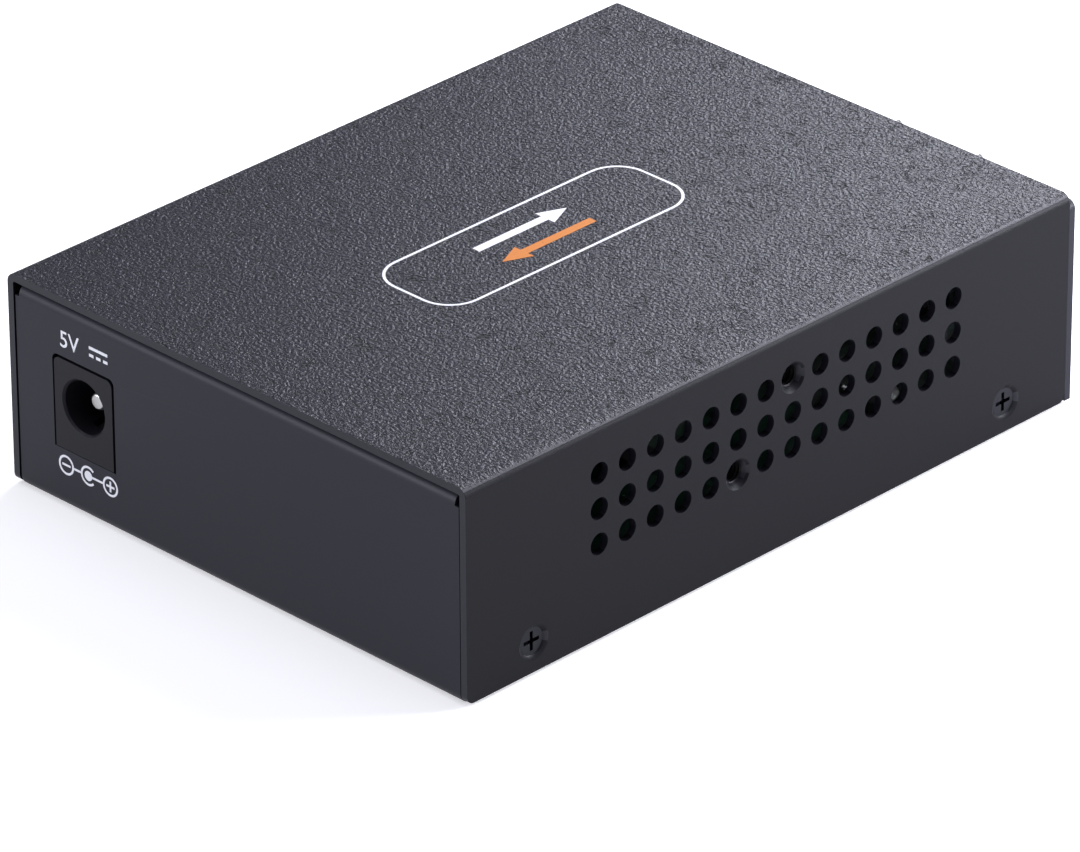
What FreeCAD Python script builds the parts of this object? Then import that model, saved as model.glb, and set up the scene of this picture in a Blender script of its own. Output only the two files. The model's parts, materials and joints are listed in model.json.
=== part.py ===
import FreeCAD, Part
import math
import os

# Stand-alone fibre media converter: a vented folded steel box with a circuit board,
# a power socket at the rear, and a network socket and an optical module at the front.
# Origin at the centre of the box's bottom face. Front is -Y, rear is +Y, up is +Z. Millimetres.

V = FreeCAD.Vector
TINY = 1e-6

# Case
case_width = 70.0
case_depth = 94.4
case_height = 26.1
sheet = 0.9
cover_bend = 0.25
tray_bend = 0.5
cover_ground_gap = 0.4
cover_corner = 1.0
cover_fit = 0.05
front_panel_drop = 1.1
front_panel_corner = 1.0
rear_panel_recess = 0.1
rear_panel_side_gap = 0.2
rear_panel_top_gap = 0.2
top_fold_length = 3.0
top_fold_inset = 0.6
flange_height = 7.6
flange_end_gap = 2.0
fold_relief = 0.55
panel_fit = 0.12

# Vents and tapped holes in the cover's sides
vent_diameter = 2.8
vent_pitch = 4.23
vent_columns = 14
vent_rows = 3
vent_drop = 5.76
tapped_places = ((7, 0), (5, 2))
tapped_bore = 2.5
tapped_collar = 4.0
tapped_depth = 2.2
tapped_mouth = 3.7
tapped_throat = 3.1
tapped_lip = 0.25
tapped_lead = 0.7

# Cover screws
screw_height = 4.0
screw_inset = 9.9
screw_shank = 2.0
screw_head = 3.3
screw_cone = 0.45
screw_length = 4.2
screw_sink = 4.3
screw_recess = 0.4
thread_gap = 0.02
cross_width = 0.45
cross_reach = 1.15
cross_depth = 0.6

# Circuit board, its standoffs and screws
board_level = 7.45
board_thickness = 1.6
board_corner = 1.0
board_side_gap = 0.8
board_end_gap = 0.8
board_cutback = 9.0
leg_reach = 1.0
leg_hole_gap = 0.04
standoff_side_inset = 3.65
standoff_front_inset = 23.4
standoff_rear_inset = 17.7
standoff_diameter = 4.8
standoff_base = 5.4
board_screw_head = 5.2
board_screw_rise = 1.8
board_screw_rim = 1.08
board_screw_crown = 3.38
board_screw_thread = 3.0
board_screw_length = 5.5

# Power socket
jack_side_inset = 11.58
jack_width = 9.1
jack_height = 11.0
jack_depth = 14.0
jack_face_depth = 3.4
jack_mouth = 6.3
jack_mouth_height = 6.15
jack_mouth_lip = 0.25
jack_barrel = 8.6
jack_bore_depth = 9.6
jack_proud = 0.05
jack_corner = 0.8
jack_window_gap = 0.3
jack_pin = 2.0
jack_pin_back = 1.9
jack_pin_edge = 0.3
jack_pin_edge_round = 0.1
jack_tag_width = 2.0
jack_tag_thickness = 0.8
jack_tag_clearance = 0.05
jack_rear_tag = 0.7
jack_leaf_tag = 6.4
jack_side_tag = 3.4
jack_side_tag_shift = 3.3
jack_side_tag_height = 1.15
jack_leaf_width = 1.8
jack_leaf_thickness = 0.3
jack_leaf_rise = 0.35
jack_leaf_start = 2.6
jack_leaf_crest = 5.2
jack_leaf_front_dip = 0.95
jack_leaf_root_dip = 1.95
jack_channel_width = 2.4
jack_channel_start = 2.2

# Network socket
rj_side_inset = 16.0
rj_width = 15.9
rj_height = 12.9
rj_depth = 21.3
rj_proud = 0.5
rj_shield = 0.25
rj_corner = 0.4
rj_socket_width = 11.8
rj_socket_depth = 14.0
rj_tab_width = 6.2
rj_tab_height = 1.6
rj_key_width = 3.4
rj_key_height = 1.4
rj_floor = 1.9
rj_roof_wall = 1.1
rj_shield_margin = 0.15
rj_leg_place = 13.2
rj_leg_width = 1.6
rj_contact_pitch = 1.02
rj_contact_count = 8
rj_contact_width = 0.45
rj_contact_thickness = 0.35
rj_contact_drop = 2.2
rj_contact_start = 2.4
rj_contact_back = 1.2
rj_contact_free = 3.2
rj_slot_width = 0.6
rj_slot_height = 0.6
rj_slot_end = 0.2
rj_contact_sink = 0.1

# Cage for the optical module
cage_centre = -5.0
cage_wall = 0.3
cage_corner = 0.4
cage_side_play = 0.2
cage_height_play = 0.4
cage_length = 48.8
cage_proud = 0.8
cage_leg_width = 1.0
cage_leg_count = 4
cage_leg_front = 2.5
cage_leg_rear = 3.0
cage_vent = 1.6
cage_vent_columns = 2
cage_vent_rows = 5
cage_vent_across = 5.0
cage_vent_pitch = 4.6
cage_vent_start = 14.0
cage_open_length = 12.0
cage_panel_gap = 0.5
tongue_width = 5.0
tongue_drop = 0.75
tongue_length = 8.6
tongue_bend = 0.5
tongue_bend_radius = 0.05
tongue_overlap = 0.01
tongue_gap = 0.3
tongue_end = 0.9
gasket_thickness = 0.12
gasket_setback = 0.2
gasket_finger_gap = 0.5
gasket_band = 1.2
gasket_reach = 3.2
gasket_rest = 0.05
gasket_root = 0.3
gasket_top_fingers = 4
gasket_side_fingers = 2

# Connector behind the cage
host_wall = 1.2
host_front_gap = 0.4
host_rear_gap = 0.1
host_cover = 1.6
host_slot_side = 0.2
host_slot_height = 0.45
host_slot_depth = 0.3
host_contact_count = 10
host_contact_pitch = 0.85
host_contact_width = 0.4
host_contact_height = 0.3
host_contact_gap = 0.1

# Optical module
module_width = 13.4
module_height = 8.45
module_length = 56.5
module_nose_length = 9.2
module_lift = 0.2
module_wall = 0.8
module_edge = 0.25
module_front_wall = 1.5
module_recess_start = 7.0
module_slot_start = 14.0
module_slot_length = 3.0
module_slot_height = 1.0
nose_side_step = 0.25
nose_height_step = 0.425
nose_edge = 0.6
nose_gap = 0.3
edge_board_stick = 4.0
edge_board_width = 9.2
edge_board_thickness = 1.0
edge_board_rise = 2.7
edge_board_bevel = 0.6
edge_board_start = 5.0
port_pitch = 6.25
port_width = 4.9
port_height = 5.2
port_depth = 8.0
port_latch_width = 2.6
port_latch_height = 0.9
port_latch_back = 2.0
port_lead = 0.35
barrel_diameter = 2.9
barrel_bore = 1.25
barrel_bore_depth = 4.0
barrel_setback = 5.4
barrel_edge = 0.2
rail_width = 1.2
rail_rise = 0.35
label_thickness = 0.2
label_inset = 1.6
label_side_gap = 0.3
collar_thickness = 0.1
collar_start = 0.6
collar_band = 1.4
collar_leaf_across = 6.4
collar_leaf_width = 3.4
collar_leaf_length = 3.4
collar_side_leaf = 5.2
collar_channel = 0.5

# Bail of the optical module
wire_diameter = 1.1
wire_side_inset = 0.75
wire_front_gap = 0.1
wire_corner = 0.95
wire_run = 0.05
wire_end_gap = 0.15
grip_diameter = 2.3
grip_length = 8.6
grip_edge = 0.3
pivot_back = 1.2
pivot_rise = 0.97
pivot_bore_depth = 1.7
pocket_gap = 0.15
bail_top_gap = 0.25
bail_return = 1.1

# Latch of the optical module
lever_width = 4.8
lever_thickness = 0.4
lever_bend = 0.15
lever_lift = 0.1
lever_side_gap = 0.25
lever_roof = 1.5
lever_tip = 0.3
lever_pin_place = 7.2
lever_pin_diameter = 0.7
lever_pin_length = 0.6
lever_pin_end_gap = 0.1
post_width = 2.6
post_length = 1.8
post_flat = 0.5
post_drop = 0.16
post_place = 13.7
post_gap = 0.3
tab_drop = 0.5

# Status lights
light_count = 4
light_pitch = 3.3
light_diameter = 2.0
light_height = 4.5
light_proud = 0.3
light_run = 6.2
light_foot = 1.2
light_foot_height = 0.6
light_bevel = 0.8
lamp_width = 1.6
lamp_depth = 0.9
lamp_height = 0.7
lamp_gap = 0.05

# Chips and other parts on the board
chip_size = 12.0
chip_height = 1.5
chip_corner = 0.6
chip_lead_count = 10
chip_margin = 1.0
chip_side = 13.0
chip_back = 10.0
lead_width = 0.4
lead_reach = 1.0
lead_height = 0.45
body_lift = 0.1
transformer_length = 15.0
transformer_width = 7.2
transformer_height = 5.6
transformer_corner = 0.5
transformer_lead_count = 8
transformer_pitch = 1.8
transformer_lead_reach = 1.3
transformer_back = 13.0
crystal_length = 10.8
crystal_width = 4.7
crystal_height = 3.6
crystal_rim = 0.45
crystal_rim_height = 0.5
crystal_side = 14.0
crystal_back = 2.0
choke_width = 7.0
choke_height = 4.2
choke_base = 1.0
choke_drum = 5.8
choke_corner = 1.2
choke_side = 15.67
can_width = 6.6
can_diameter = 6.3
can_height = 7.5
can_base = 0.9
can_bevel = 1.2
can_neck = 0.3
can_count = 2
can_side = 27.67
can_pitch = 9.0
supply_rear_inset = 7.7
regulator_length = 6.6
regulator_width = 6.2
regulator_height = 2.4
regulator_lead_count = 2
regulator_side = 6.67
regulator_back = 10.85
memory_length = 5.0
memory_width = 4.0
memory_height = 1.7
memory_lead_count = 4
memory_side_inset = 12.15
memory_forward = 4.0
small_chip_corner = 0.2

# Worked out from the sizes above: case
half_width = case_width / 2
front = -case_depth / 2
rear = case_depth / 2
cover_front = front + sheet
inner_side = half_width - sheet
tray_half = inner_side - cover_fit
flange_inside = tray_half - sheet
rear_panel_face = rear - rear_panel_recess
rear_panel_inside = rear_panel_face - sheet
rear_panel_half = inner_side - rear_panel_side_gap
rear_panel_top = case_height - sheet - rear_panel_top_gap
front_panel_top = case_height - front_panel_drop
fold_half = tray_half - sheet - tray_bend
flange_front = cover_front + flange_end_gap
flange_rear = rear_panel_inside - flange_end_gap
vent_first = (vent_columns - 1) / 2 * vent_pitch
vent_top = case_height - vent_drop

# Worked out: board and sockets
board_bottom = board_level - board_thickness
board_half = flange_inside - board_side_gap
board_front = cover_front + board_end_gap
board_rear = rear_panel_inside - board_end_gap
leg_bottom = board_bottom - leg_reach
jack_centre = half_width - jack_side_inset
jack_face = rear_panel_face + jack_proud
jack_back = jack_face - jack_depth
jack_shoulder = jack_face - jack_face_depth
jack_axis_height = board_level + jack_mouth_height
jack_bore_bottom = jack_axis_height - jack_mouth / 2
rj_centre = half_width - rj_side_inset
rj_face = front - rj_proud
rj_back = rj_face + rj_depth
rj_roof = board_level + rj_height
rj_leg_y = rj_face + rj_leg_place
rj_socket_floor = board_level + rj_floor + rj_tab_height + rj_key_height
rj_socket_top = rj_roof - rj_roof_wall
rj_socket_height = rj_socket_top - rj_socket_floor
rj_socket_back = rj_face + rj_socket_depth

# Worked out: cage and module
cage_inner_half = module_width / 2 + cage_side_play
cage_half = cage_inner_half + cage_wall
cage_face = front - cage_proud
cage_rear = cage_face + cage_length
cage_floor = board_level + cage_wall
cage_ceiling = cage_floor + module_height + cage_height_play
cage_roof = cage_ceiling + cage_wall
tongue_rear = cage_face + tongue_length
module_half = module_width / 2
module_bottom = cage_floor + module_lift
module_top = module_bottom + module_height
module_middle = (module_bottom + module_top) / 2
nose_half = module_half + nose_side_step
nose_face = cage_face - nose_gap - module_nose_length
nose_rear = cage_face - nose_gap
nose_bottom = module_bottom - nose_height_step
nose_top = module_top + nose_height_step
module_rear = nose_face + module_length
shell_rear = module_rear - edge_board_stick
recess_front = nose_rear + module_recess_start
recess_floor = module_top - rail_rise
edge_board_bottom = module_bottom + edge_board_rise
edge_board_top = edge_board_bottom + edge_board_thickness
edge_board_front = nose_rear + edge_board_start
laser_x = cage_centre - port_pitch / 2
detector_x = cage_centre + port_pitch / 2

# Worked out: bail, latch and lights
wire_radius = wire_diameter / 2
wire_half = nose_half - wire_side_inset
pivot_y = nose_face + pivot_back
pivot_z = nose_bottom + pivot_rise
pocket_inside = wire_half - wire_radius - 2 * wire_run
leg_y = nose_face - wire_front_gap - wire_radius
bar_y = pivot_y + bail_return
bar_z = nose_top + bail_top_gap + grip_diameter / 2
lever_bottom = module_bottom + lever_lift
lever_pin_y = nose_face + lever_pin_place
lever_pin_z = lever_bottom + lever_thickness / 2
post_y = nose_face + post_place
light_middle = (cage_centre - cage_half - flange_inside) / 2
light_z = board_level + light_height
light_back = front - light_proud + light_run
light_heel = light_back - light_diameter

# Worked out: places of the parts on the board
chip_x = rj_centre - chip_side
chip_y = cage_rear + chip_back
supply_y = board_rear - supply_rear_inset


# Ways to make shapes

def place(axis, a, b, c):
    """Point from two coordinates across an axis and one along it."""
    return {"x": V(c, a, b), "y": V(a, c, b), "z": V(a, b, c)}[axis]


def corner_arc(before, corner, after, radius):
    """Start, middle and end of the arc that rounds one corner."""
    back = (before - corner).normalize()
    ahead = (after - corner).normalize()
    half = back.getAngle(ahead) / 2
    reach = radius / math.tan(half)
    bisector = (back + ahead).normalize()
    middle = corner + bisector * (radius / math.sin(half) - radius)
    return corner + back * reach, middle, corner + ahead * reach


def rounded_wire(points, radii, closed=True):
    """Wire through the points, each corner rounded by its own radius."""
    count = len(points)
    stops = []
    for index, corner in enumerate(points):
        if radii[index] > 0:
            after = points[(index + 1) % count]
            stops.append(corner_arc(points[index - 1], corner, after, radii[index]))
        else:
            stops.append((corner, None, corner))
    edges = []
    for index, (first, middle, last) in enumerate(stops):
        if middle is not None:
            edges.append(Part.Arc(first, middle, last).toShape())
        following = stops[(index + 1) % count][0]
        if (closed or index < count - 1) and last.distanceToPoint(following) > TINY:
            edges.append(Part.makeLine(last, following))
    return Part.Wire(edges)


def round_bar(path, radius):
    """Round bar along a wire of lines and arcs."""
    pieces = []
    for edge in path.Edges:
        start = edge.valueAt(edge.FirstParameter)
        along = edge.tangentAt(edge.FirstParameter)
        disc = Part.Face(Part.Wire(Part.makeCircle(radius, start, along)))
        if isinstance(edge.Curve, Part.Line):
            pieces.append(disc.extrude(edge.valueAt(edge.LastParameter) - start))
        else:
            turn = math.degrees(edge.LastParameter - edge.FirstParameter)
            pieces.append(disc.revolve(edge.Curve.Center, edge.Curve.Axis, turn))
    return joined(pieces)


def prism(axis, outline, start, stop, radii=0.0):
    """Solid with a flat outline, its corners rounded, drawn out along an axis."""
    points = [place(axis, a, b, start) for a, b in outline]
    if isinstance(radii, (int, float)):
        radii = [radii] * len(points)
    face = Part.Face(rounded_wire(points, radii))
    return face.extrude(place(axis, 0, 0, stop - start))


def rectangle(a0, a1, b0, b1):
    """Corners of a rectangle, anticlockwise."""
    return [(a0, b0), (a1, b0), (a1, b1), (a0, b1)]


def centred(a, b, width, height):
    """Corners of a rectangle about its centre."""
    return rectangle(a - width / 2, a + width / 2, b - height / 2, b + height / 2)


def block(x0, x1, y0, y1, z0, z1):
    """Box between two values on each axis."""
    return Part.makeBox(x1 - x0, y1 - y0, z1 - z0, V(x0, y0, z0))


def upright(x, y, width, depth, z0, z1):
    """Box about a vertical line."""
    return block(x - width / 2, x + width / 2, y - depth / 2, y + depth / 2, z0, z1)


def rod(axis, a, b, radius, start, stop):
    """Cylinder about a line parallel to an axis."""
    low = min(start, stop)
    high = max(start, stop)
    return Part.makeCylinder(radius, high - low, place(axis, a, b, low), place(axis, 0, 0, 1))


def turned(axis, a, b, profile):
    """Solid of revolution; the profile is pairs of place along the axis and radius."""
    points = [place(axis, a + radius, b, along) for along, radius in profile]
    face = Part.Face(rounded_wire(points, [0.0] * len(points)))
    return face.revolve(place(axis, a, b, 0), place(axis, 0, 0, 1), 360)


def funnel(axis, mouth, throat, start, stop):
    """Solid between an outline at the start and a smaller one at the stop."""
    wires = []
    for outline, level in ((mouth, start), (throat, stop)):
        points = [place(axis, a, b, level) for a, b in outline]
        wires.append(Part.makePolygon(points + points[:1]))
    return Part.makeLoft(wires, True, True)


def bent_sheet(axis, path, thickness, bend, start, stop):
    """Sheet bent along a path and drawn out along an axis; it lies left of the path."""
    count = len(path)
    along = []
    for (a0, b0), (a1, b1) in zip(path, path[1:]):
        length = math.hypot(a1 - a0, b1 - b0)
        along.append(((a1 - a0) / length, (b1 - b0) / length))
    left = []
    near_radii = [0.0] * count
    far_radii = [0.0] * count
    for index, (a, b) in enumerate(path):
        ahead = along[min(index, count - 2)]
        behind = along[max(index - 1, 0)]
        grow = thickness / (1 + ahead[0] * behind[0] + ahead[1] * behind[1])
        left.append((a - (ahead[1] + behind[1]) * grow, b + (ahead[0] + behind[0]) * grow))
        turn = behind[0] * ahead[1] - behind[1] * ahead[0]
        if turn > TINY:
            near_radii[index] = bend + thickness
            far_radii[index] = bend
        elif turn < -TINY:
            near_radii[index] = bend
            far_radii[index] = bend + thickness
    outline = path + left[::-1]
    return prism(axis, outline, start, stop, near_radii + far_radii[::-1])


def mirrored(shape, x=0.0):
    """The same shape on the other side of an upright plane across X."""
    return shape.mirror(V(x, 0, 0), V(1, 0, 0))


def joined(shapes):
    """One solid from overlapping or touching shapes, with merged faces."""
    return shapes[0].fuse(shapes[1:]).removeSplitter()


def write(name, shapes):
    """Write one node's solids to its own STEP file."""
    solids = [solid for shape in shapes for solid in shape.Solids]
    for solid in solids:
        if not solid.isValid() or solid.Volume <= 0:
            raise ValueError(name + " holds a solid that is not valid")
    whole = solids[0] if len(solids) == 1 else Part.makeCompound(solids)
    whole.exportStep(os.path.join("parts", name + ".step"))


# Case

def vent_places():
    """Place of each vent: column, row, and its centre in Y and Z."""
    for column in range(vent_columns):
        for row in range(vent_rows):
            yield column, row, vent_first - column * vent_pitch, vent_top - row * vent_pitch


def screw_places():
    """Y of the two cover screws on each side."""
    return (cover_front + screw_inset, rear - screw_inset)


def tapped_collar_solid(y, z):
    """Collar drawn inward round a tapped hole."""
    return rod("x", y, z, tapped_collar / 2, inner_side + TINY, half_width - tapped_depth)


def tapped_cut(y, z):
    """Rounded mouth and bore of a tapped hole."""
    bore = tapped_bore / 2
    bottom = half_width - tapped_depth
    return turned("x", y, z, [(half_width, 0), (half_width, tapped_mouth / 2),
                              (half_width - tapped_lip, tapped_throat / 2),
                              (half_width - tapped_lead, bore), (bottom, bore), (bottom, 0)])


def countersink(y):
    """Dimple, cone seat and clearance hole for one cover screw."""
    shank = screw_shank / 2 + thread_gap
    seat = half_width - screw_recess
    return turned("x", y, screw_height,
                  [(half_width, 0), (half_width, screw_sink / 2), (seat, screw_head / 2 + thread_gap),
                   (seat - screw_cone, shank), (inner_side, shank), (inner_side, 0)])


def top_cover():
    """Folded cover: top and two vented sides."""
    path = [(half_width, cover_ground_gap), (half_width, case_height),
            (-half_width, case_height), (-half_width, cover_ground_gap)]
    shell = bent_sheet("y", path, sheet, cover_bend, cover_front, rear)
    side_view = rectangle(cover_front, rear, cover_ground_gap, case_height + sheet)
    trim = prism("x", side_view, -case_width, case_width, [cover_corner, cover_corner, 0, 0])
    shell = shell.common(trim)
    collars = []
    cuts = [countersink(y) for y in screw_places()]
    for column, row, y, z in vent_places():
        if (column, row) in tapped_places:
            collars.append(tapped_collar_solid(y, z))
            cuts.append(tapped_cut(y, z))
        else:
            cuts.append(rod("x", y, z, vent_diameter / 2, inner_side - sheet, half_width + sheet))
    shell = joined([shell] + collars + [mirrored(collar) for collar in collars])
    return shell.cut(cuts + [mirrored(cut) for cut in cuts])


def tray_side_flange():
    """Floor edge and upturned flange on the +X side, with its two screw holes."""
    path = [(0, 0), (tray_half, 0), (tray_half, flange_height)]
    flange = bent_sheet("y", path, sheet, tray_bend, flange_front, flange_rear)
    holes = [rod("x", y, screw_height, screw_shank / 2 + thread_gap, flange_inside - sheet, half_width)
             for y in screw_places()]
    return flange.cut(holes)


def front_panel():
    """Front panel, as wide as the case, that rises from a narrower fold in the floor."""
    low = sheet + tray_bend
    relief = low + fold_relief
    side = fold_half + fold_relief
    outline = [(-half_width, cover_ground_gap), (-side, cover_ground_gap), (-side, relief),
               (-fold_half, relief), (-fold_half, low), (fold_half, low), (fold_half, relief),
               (side, relief), (side, cover_ground_gap), (half_width, cover_ground_gap)]
    upper = [(half_width, front_panel_top), (-half_width, front_panel_top)]
    radii = [0.0] * len(outline) + [front_panel_corner] * len(upper)
    plate = prism("y", outline + upper, front, cover_front, radii)
    path = [(front, relief), (front, 0), (0, 0)]
    return [plate, bent_sheet("x", path, sheet, tray_bend, -fold_half, fold_half)]


def rear_panel():
    """Rear panel folded up from the floor, with a stiffening fold along its top."""
    face = rear_panel_face
    start = flange_rear + fold_relief
    path = [(start, 0), (face, 0), (face, rear_panel_top), (face - top_fold_length, rear_panel_top)]
    panel = bent_sheet("x", path, sheet, tray_bend, -rear_panel_half, rear_panel_half)
    low = rear_panel_top - sheet - tray_bend
    notch = block(rear_panel_half - top_fold_inset, half_width, face - top_fold_length - sheet, rear + sheet,
                  low, case_height)
    floor = block(-fold_half, fold_half, 0, start, 0, sheet)
    return [panel.cut([notch, mirrored(notch)]), floor]


def cage_window():
    """Window in the front panel for the cage, its springs and its tongue."""
    reach = cage_half + cage_panel_gap
    low = board_level - tongue_drop - cage_wall - cage_panel_gap
    return block(cage_centre - reach, cage_centre + reach, front - sheet, cover_front + sheet,
                 low, cage_roof + cage_panel_gap)


def jack_window():
    """Window in the rear panel for the power socket."""
    reach = jack_width / 2 + jack_window_gap
    outline = rectangle(jack_centre - reach, jack_centre + reach,
                        board_level - panel_fit, board_level + jack_height + jack_window_gap)
    return prism("y", outline, rear_panel_inside - sheet, rear + sheet, [0, 0, jack_corner, jack_corner])


def rj_window():
    """Window in the front panel for the network socket."""
    reach = rj_width / 2 + panel_fit
    return block(rj_centre - reach, rj_centre + reach, front - sheet, cover_front + sheet,
                 board_level - panel_fit, rj_roof + panel_fit)


def base_tray():
    """Folded tray: floor, side flanges, front panel and rear panel."""
    side = tray_side_flange()
    tray = joined(front_panel() + rear_panel() + [side, mirrored(side)])
    cuts = [jack_window(), rj_window(), cage_window()]
    for x in light_places():
        cuts.append(rod("y", x, light_z, light_diameter / 2 + panel_fit, front - sheet, cover_front + sheet))
    for x, y in standoff_places():
        cuts.append(hexagon(x, y, standoff_base, -sheet, 2 * sheet))
    return tray.cut(cuts)


def cover_screw(y):
    """Flat-head cross-recess screw through the cover and flange on the +X side."""
    shank = screw_shank / 2
    face = half_width - screw_recess
    body = turned("x", y, screw_height, [(face, 0), (face, screw_head / 2), (face - screw_cone, shank),
                                         (face - screw_length, shank), (face - screw_length, 0)])
    half = cross_width / 2
    low = face - cross_depth
    cross = [block(low, half_width, y - cross_reach, y + cross_reach, screw_height - half, screw_height + half),
             block(low, half_width, y - half, y + half, screw_height - cross_reach, screw_height + cross_reach)]
    return body.cut(cross)


def cover_screws():
    """Two cover screws on each side."""
    right = [cover_screw(y) for y in screw_places()]
    return right + [mirrored(screw) for screw in right]


# Board, its standoffs and screws

def hexagon(x, y, across, z0, z1):
    """Hexagonal prism by its width across flats."""
    reach = across / math.sqrt(3)
    outline = [(x + reach * math.cos(math.radians(60 * corner)),
                y + reach * math.sin(math.radians(60 * corner))) for corner in range(6)]
    return prism("z", outline, z0, z1)


def standoff_places():
    """Centres of the four board standoffs."""
    across = board_half - standoff_side_inset
    for x in (-across, across):
        for y in (board_front + standoff_front_inset, board_rear - standoff_rear_inset):
            yield x, y


def board_standoffs():
    """Standoffs pressed into the floor, each bored for its screw."""
    pieces = []
    for x, y in standoff_places():
        foot = hexagon(x, y, standoff_base - 2 * thread_gap, 0, sheet)
        post = rod("z", x, y, standoff_diameter / 2, sheet, board_bottom)
        bore = rod("z", x, y, board_screw_thread / 2 + thread_gap, sheet / 2, board_bottom + sheet)
        pieces.append(joined([foot, post]).cut(bore))
    return pieces


def board_screws():
    """Pan-head screws that hold the board on its standoffs."""
    pieces = []
    head = board_screw_head / 2
    shank = board_screw_thread / 2
    top = board_level + board_screw_rise
    bottom = max(board_level - board_screw_length, sheet)
    for x, y in standoff_places():
        body = turned("z", x, y, [(bottom, 0), (bottom, shank), (board_level, shank), (board_level, head),
                                  (board_level + board_screw_rim, head), (top, board_screw_crown / 2), (top, 0)])
        slots = [upright(x, y, width, depth, top - cross_depth, top + cross_depth)
                 for width, depth in ((2 * cross_reach, 2 * cross_width), (2 * cross_width, 2 * cross_reach))]
        pieces.append(body.cut(slots))
    return pieces


def board_leg_places():
    """Centre, width and depth of each leg that goes down through the board."""
    for y in cage_leg_places():
        for side in (-1, 1):
            yield cage_centre + side * (cage_half - cage_wall / 2), y, cage_wall, cage_leg_width
    for x, y in jack_tag_places():
        yield x, y, jack_tag_width, jack_tag_thickness
    for side in (-1, 1):
        yield rj_centre + side * (rj_width - rj_shield) / 2, rj_leg_y, rj_shield, rj_leg_width


def main_board():
    """Circuit board, cut back under the mouth of the cage."""
    outline = rectangle(-board_half, board_half, board_front, board_rear)
    plate = prism("z", outline, board_bottom, board_level, board_corner)
    below = board_bottom - leg_reach
    above = board_level + leg_reach
    cuts = [block(cage_centre - cage_half, cage_centre + cage_half, front,
                  board_front + board_cutback, below, above)]
    for x, y in standoff_places():
        cuts.append(rod("z", x, y, board_screw_thread / 2 + leg_hole_gap, below, above))
    for x, y, width, depth in board_leg_places():
        cuts.append(upright(x, y, width + 2 * leg_hole_gap, depth + 2 * leg_hole_gap, below, above))
    return plate.cut(cuts)


# Power socket

def jack_tag_places():
    """Where the tags of the pin, the leaf and the side contact go through the board."""
    return ((jack_centre, jack_back + jack_rear_tag), (jack_centre, jack_back + jack_leaf_tag),
            (jack_centre - jack_side_tag_shift, jack_back + jack_side_tag))


def jack_tag(x, y, top):
    """One solder tag from under the board up to a level."""
    return upright(x, y, jack_tag_width, jack_tag_thickness, leg_bottom, top)


def dc_jack_housing():
    """Moulded power socket: square face, barrel behind it, round bore."""
    half = jack_width / 2
    outline = rectangle(jack_centre - half, jack_centre + half, board_level, board_level + jack_height)
    face = prism("y", outline, jack_shoulder, jack_face, [0, 0, jack_corner, jack_corner])
    barrel = rod("y", jack_centre, jack_axis_height, jack_barrel / 2, jack_back, jack_shoulder)
    foot = block(jack_centre - jack_barrel / 2, jack_centre + jack_barrel / 2, jack_back, jack_shoulder,
                 board_level, jack_axis_height)
    mouth = jack_mouth / 2
    end = jack_face - jack_bore_depth
    bore = turned("y", jack_centre, jack_axis_height,
                  [(end, 0), (end, mouth), (jack_face - jack_mouth_lip, mouth),
                   (jack_face, mouth + jack_mouth_lip), (jack_face, 0)])
    pin_hole = rod("y", jack_centre, jack_axis_height, jack_pin / 2 + thread_gap, jack_back - 1, jack_face)
    channel = block(jack_centre - jack_channel_width / 2, jack_centre + jack_channel_width / 2,
                    jack_back + jack_leaf_tag - jack_tag_thickness / 2 - jack_tag_clearance,
                    jack_face - jack_channel_start,
                    leg_bottom, jack_bore_bottom + jack_leaf_rise + jack_tag_clearance)
    width = jack_tag_width + 2 * jack_tag_clearance
    depth = jack_tag_thickness + 2 * jack_tag_clearance
    x_side, y_side = jack_tag_places()[2]
    side_slot = upright(x_side, y_side, width, depth, leg_bottom,
                        board_level + jack_side_tag_height + jack_tag_clearance)
    x_rear, y_rear = jack_tag_places()[0]
    rear_slot = block(x_rear - width / 2, x_rear + width / 2, jack_back - 1, y_rear + depth / 2,
                      leg_bottom, jack_axis_height + jack_pin / 2 + thread_gap)
    return joined([face, barrel, foot]).cut([bore, pin_hole, channel, side_slot, rear_slot])


def dc_jack_pin():
    """Centre pin with a rounded tip and its tag down the back of the socket."""
    tip = jack_face - jack_pin_back
    radius = jack_pin / 2
    x, y = jack_tag_places()[0]
    end = y - jack_tag_thickness / 2
    pin = turned("y", jack_centre, jack_axis_height,
                 [(end, 0), (end, radius), (tip - jack_pin_edge, radius),
                  (tip - jack_pin_edge_round, radius - jack_pin_edge_round), (tip, radius - jack_pin_edge), (tip, 0)])
    return joined([pin, jack_tag(x, y, jack_axis_height)])


def dc_jack_contacts():
    """Leaf spring under the bore, and the side contact's tag."""
    x_leaf, y_leaf = jack_tag_places()[1]
    x_side, y_side = jack_tag_places()[2]
    root = y_leaf - jack_tag_thickness / 2
    crest = jack_bore_bottom + jack_leaf_rise
    path = [(jack_face - jack_leaf_start, crest - jack_leaf_front_dip), (jack_face - jack_leaf_crest, crest),
            (root, crest - jack_leaf_root_dip), (root, leg_bottom)]
    leaf = bent_sheet("x", path, jack_leaf_thickness, jack_leaf_thickness,
                      x_leaf - jack_leaf_width / 2, x_leaf + jack_leaf_width / 2)
    return [joined([leaf, jack_tag(x_leaf, y_leaf, board_level)]),
            jack_tag(x_side, y_side, board_level + jack_side_tag_height)]


# Network socket

def rj_opening(grow):
    """Stepped opening for the plug: body, tab and key; grow widens it all round."""
    tab_floor = rj_socket_floor - rj_tab_height
    steps = ((rj_socket_width, rj_socket_floor, rj_socket_height),
             (rj_tab_width, tab_floor, rj_tab_height),
             (rj_key_width, tab_floor - rj_key_height, rj_key_height))
    return [block(rj_centre - width / 2 - grow, rj_centre + width / 2 + grow, rj_face - 1,
                  rj_socket_back, low - grow, low + height + grow + TINY)
            for width, low, height in steps]


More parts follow.
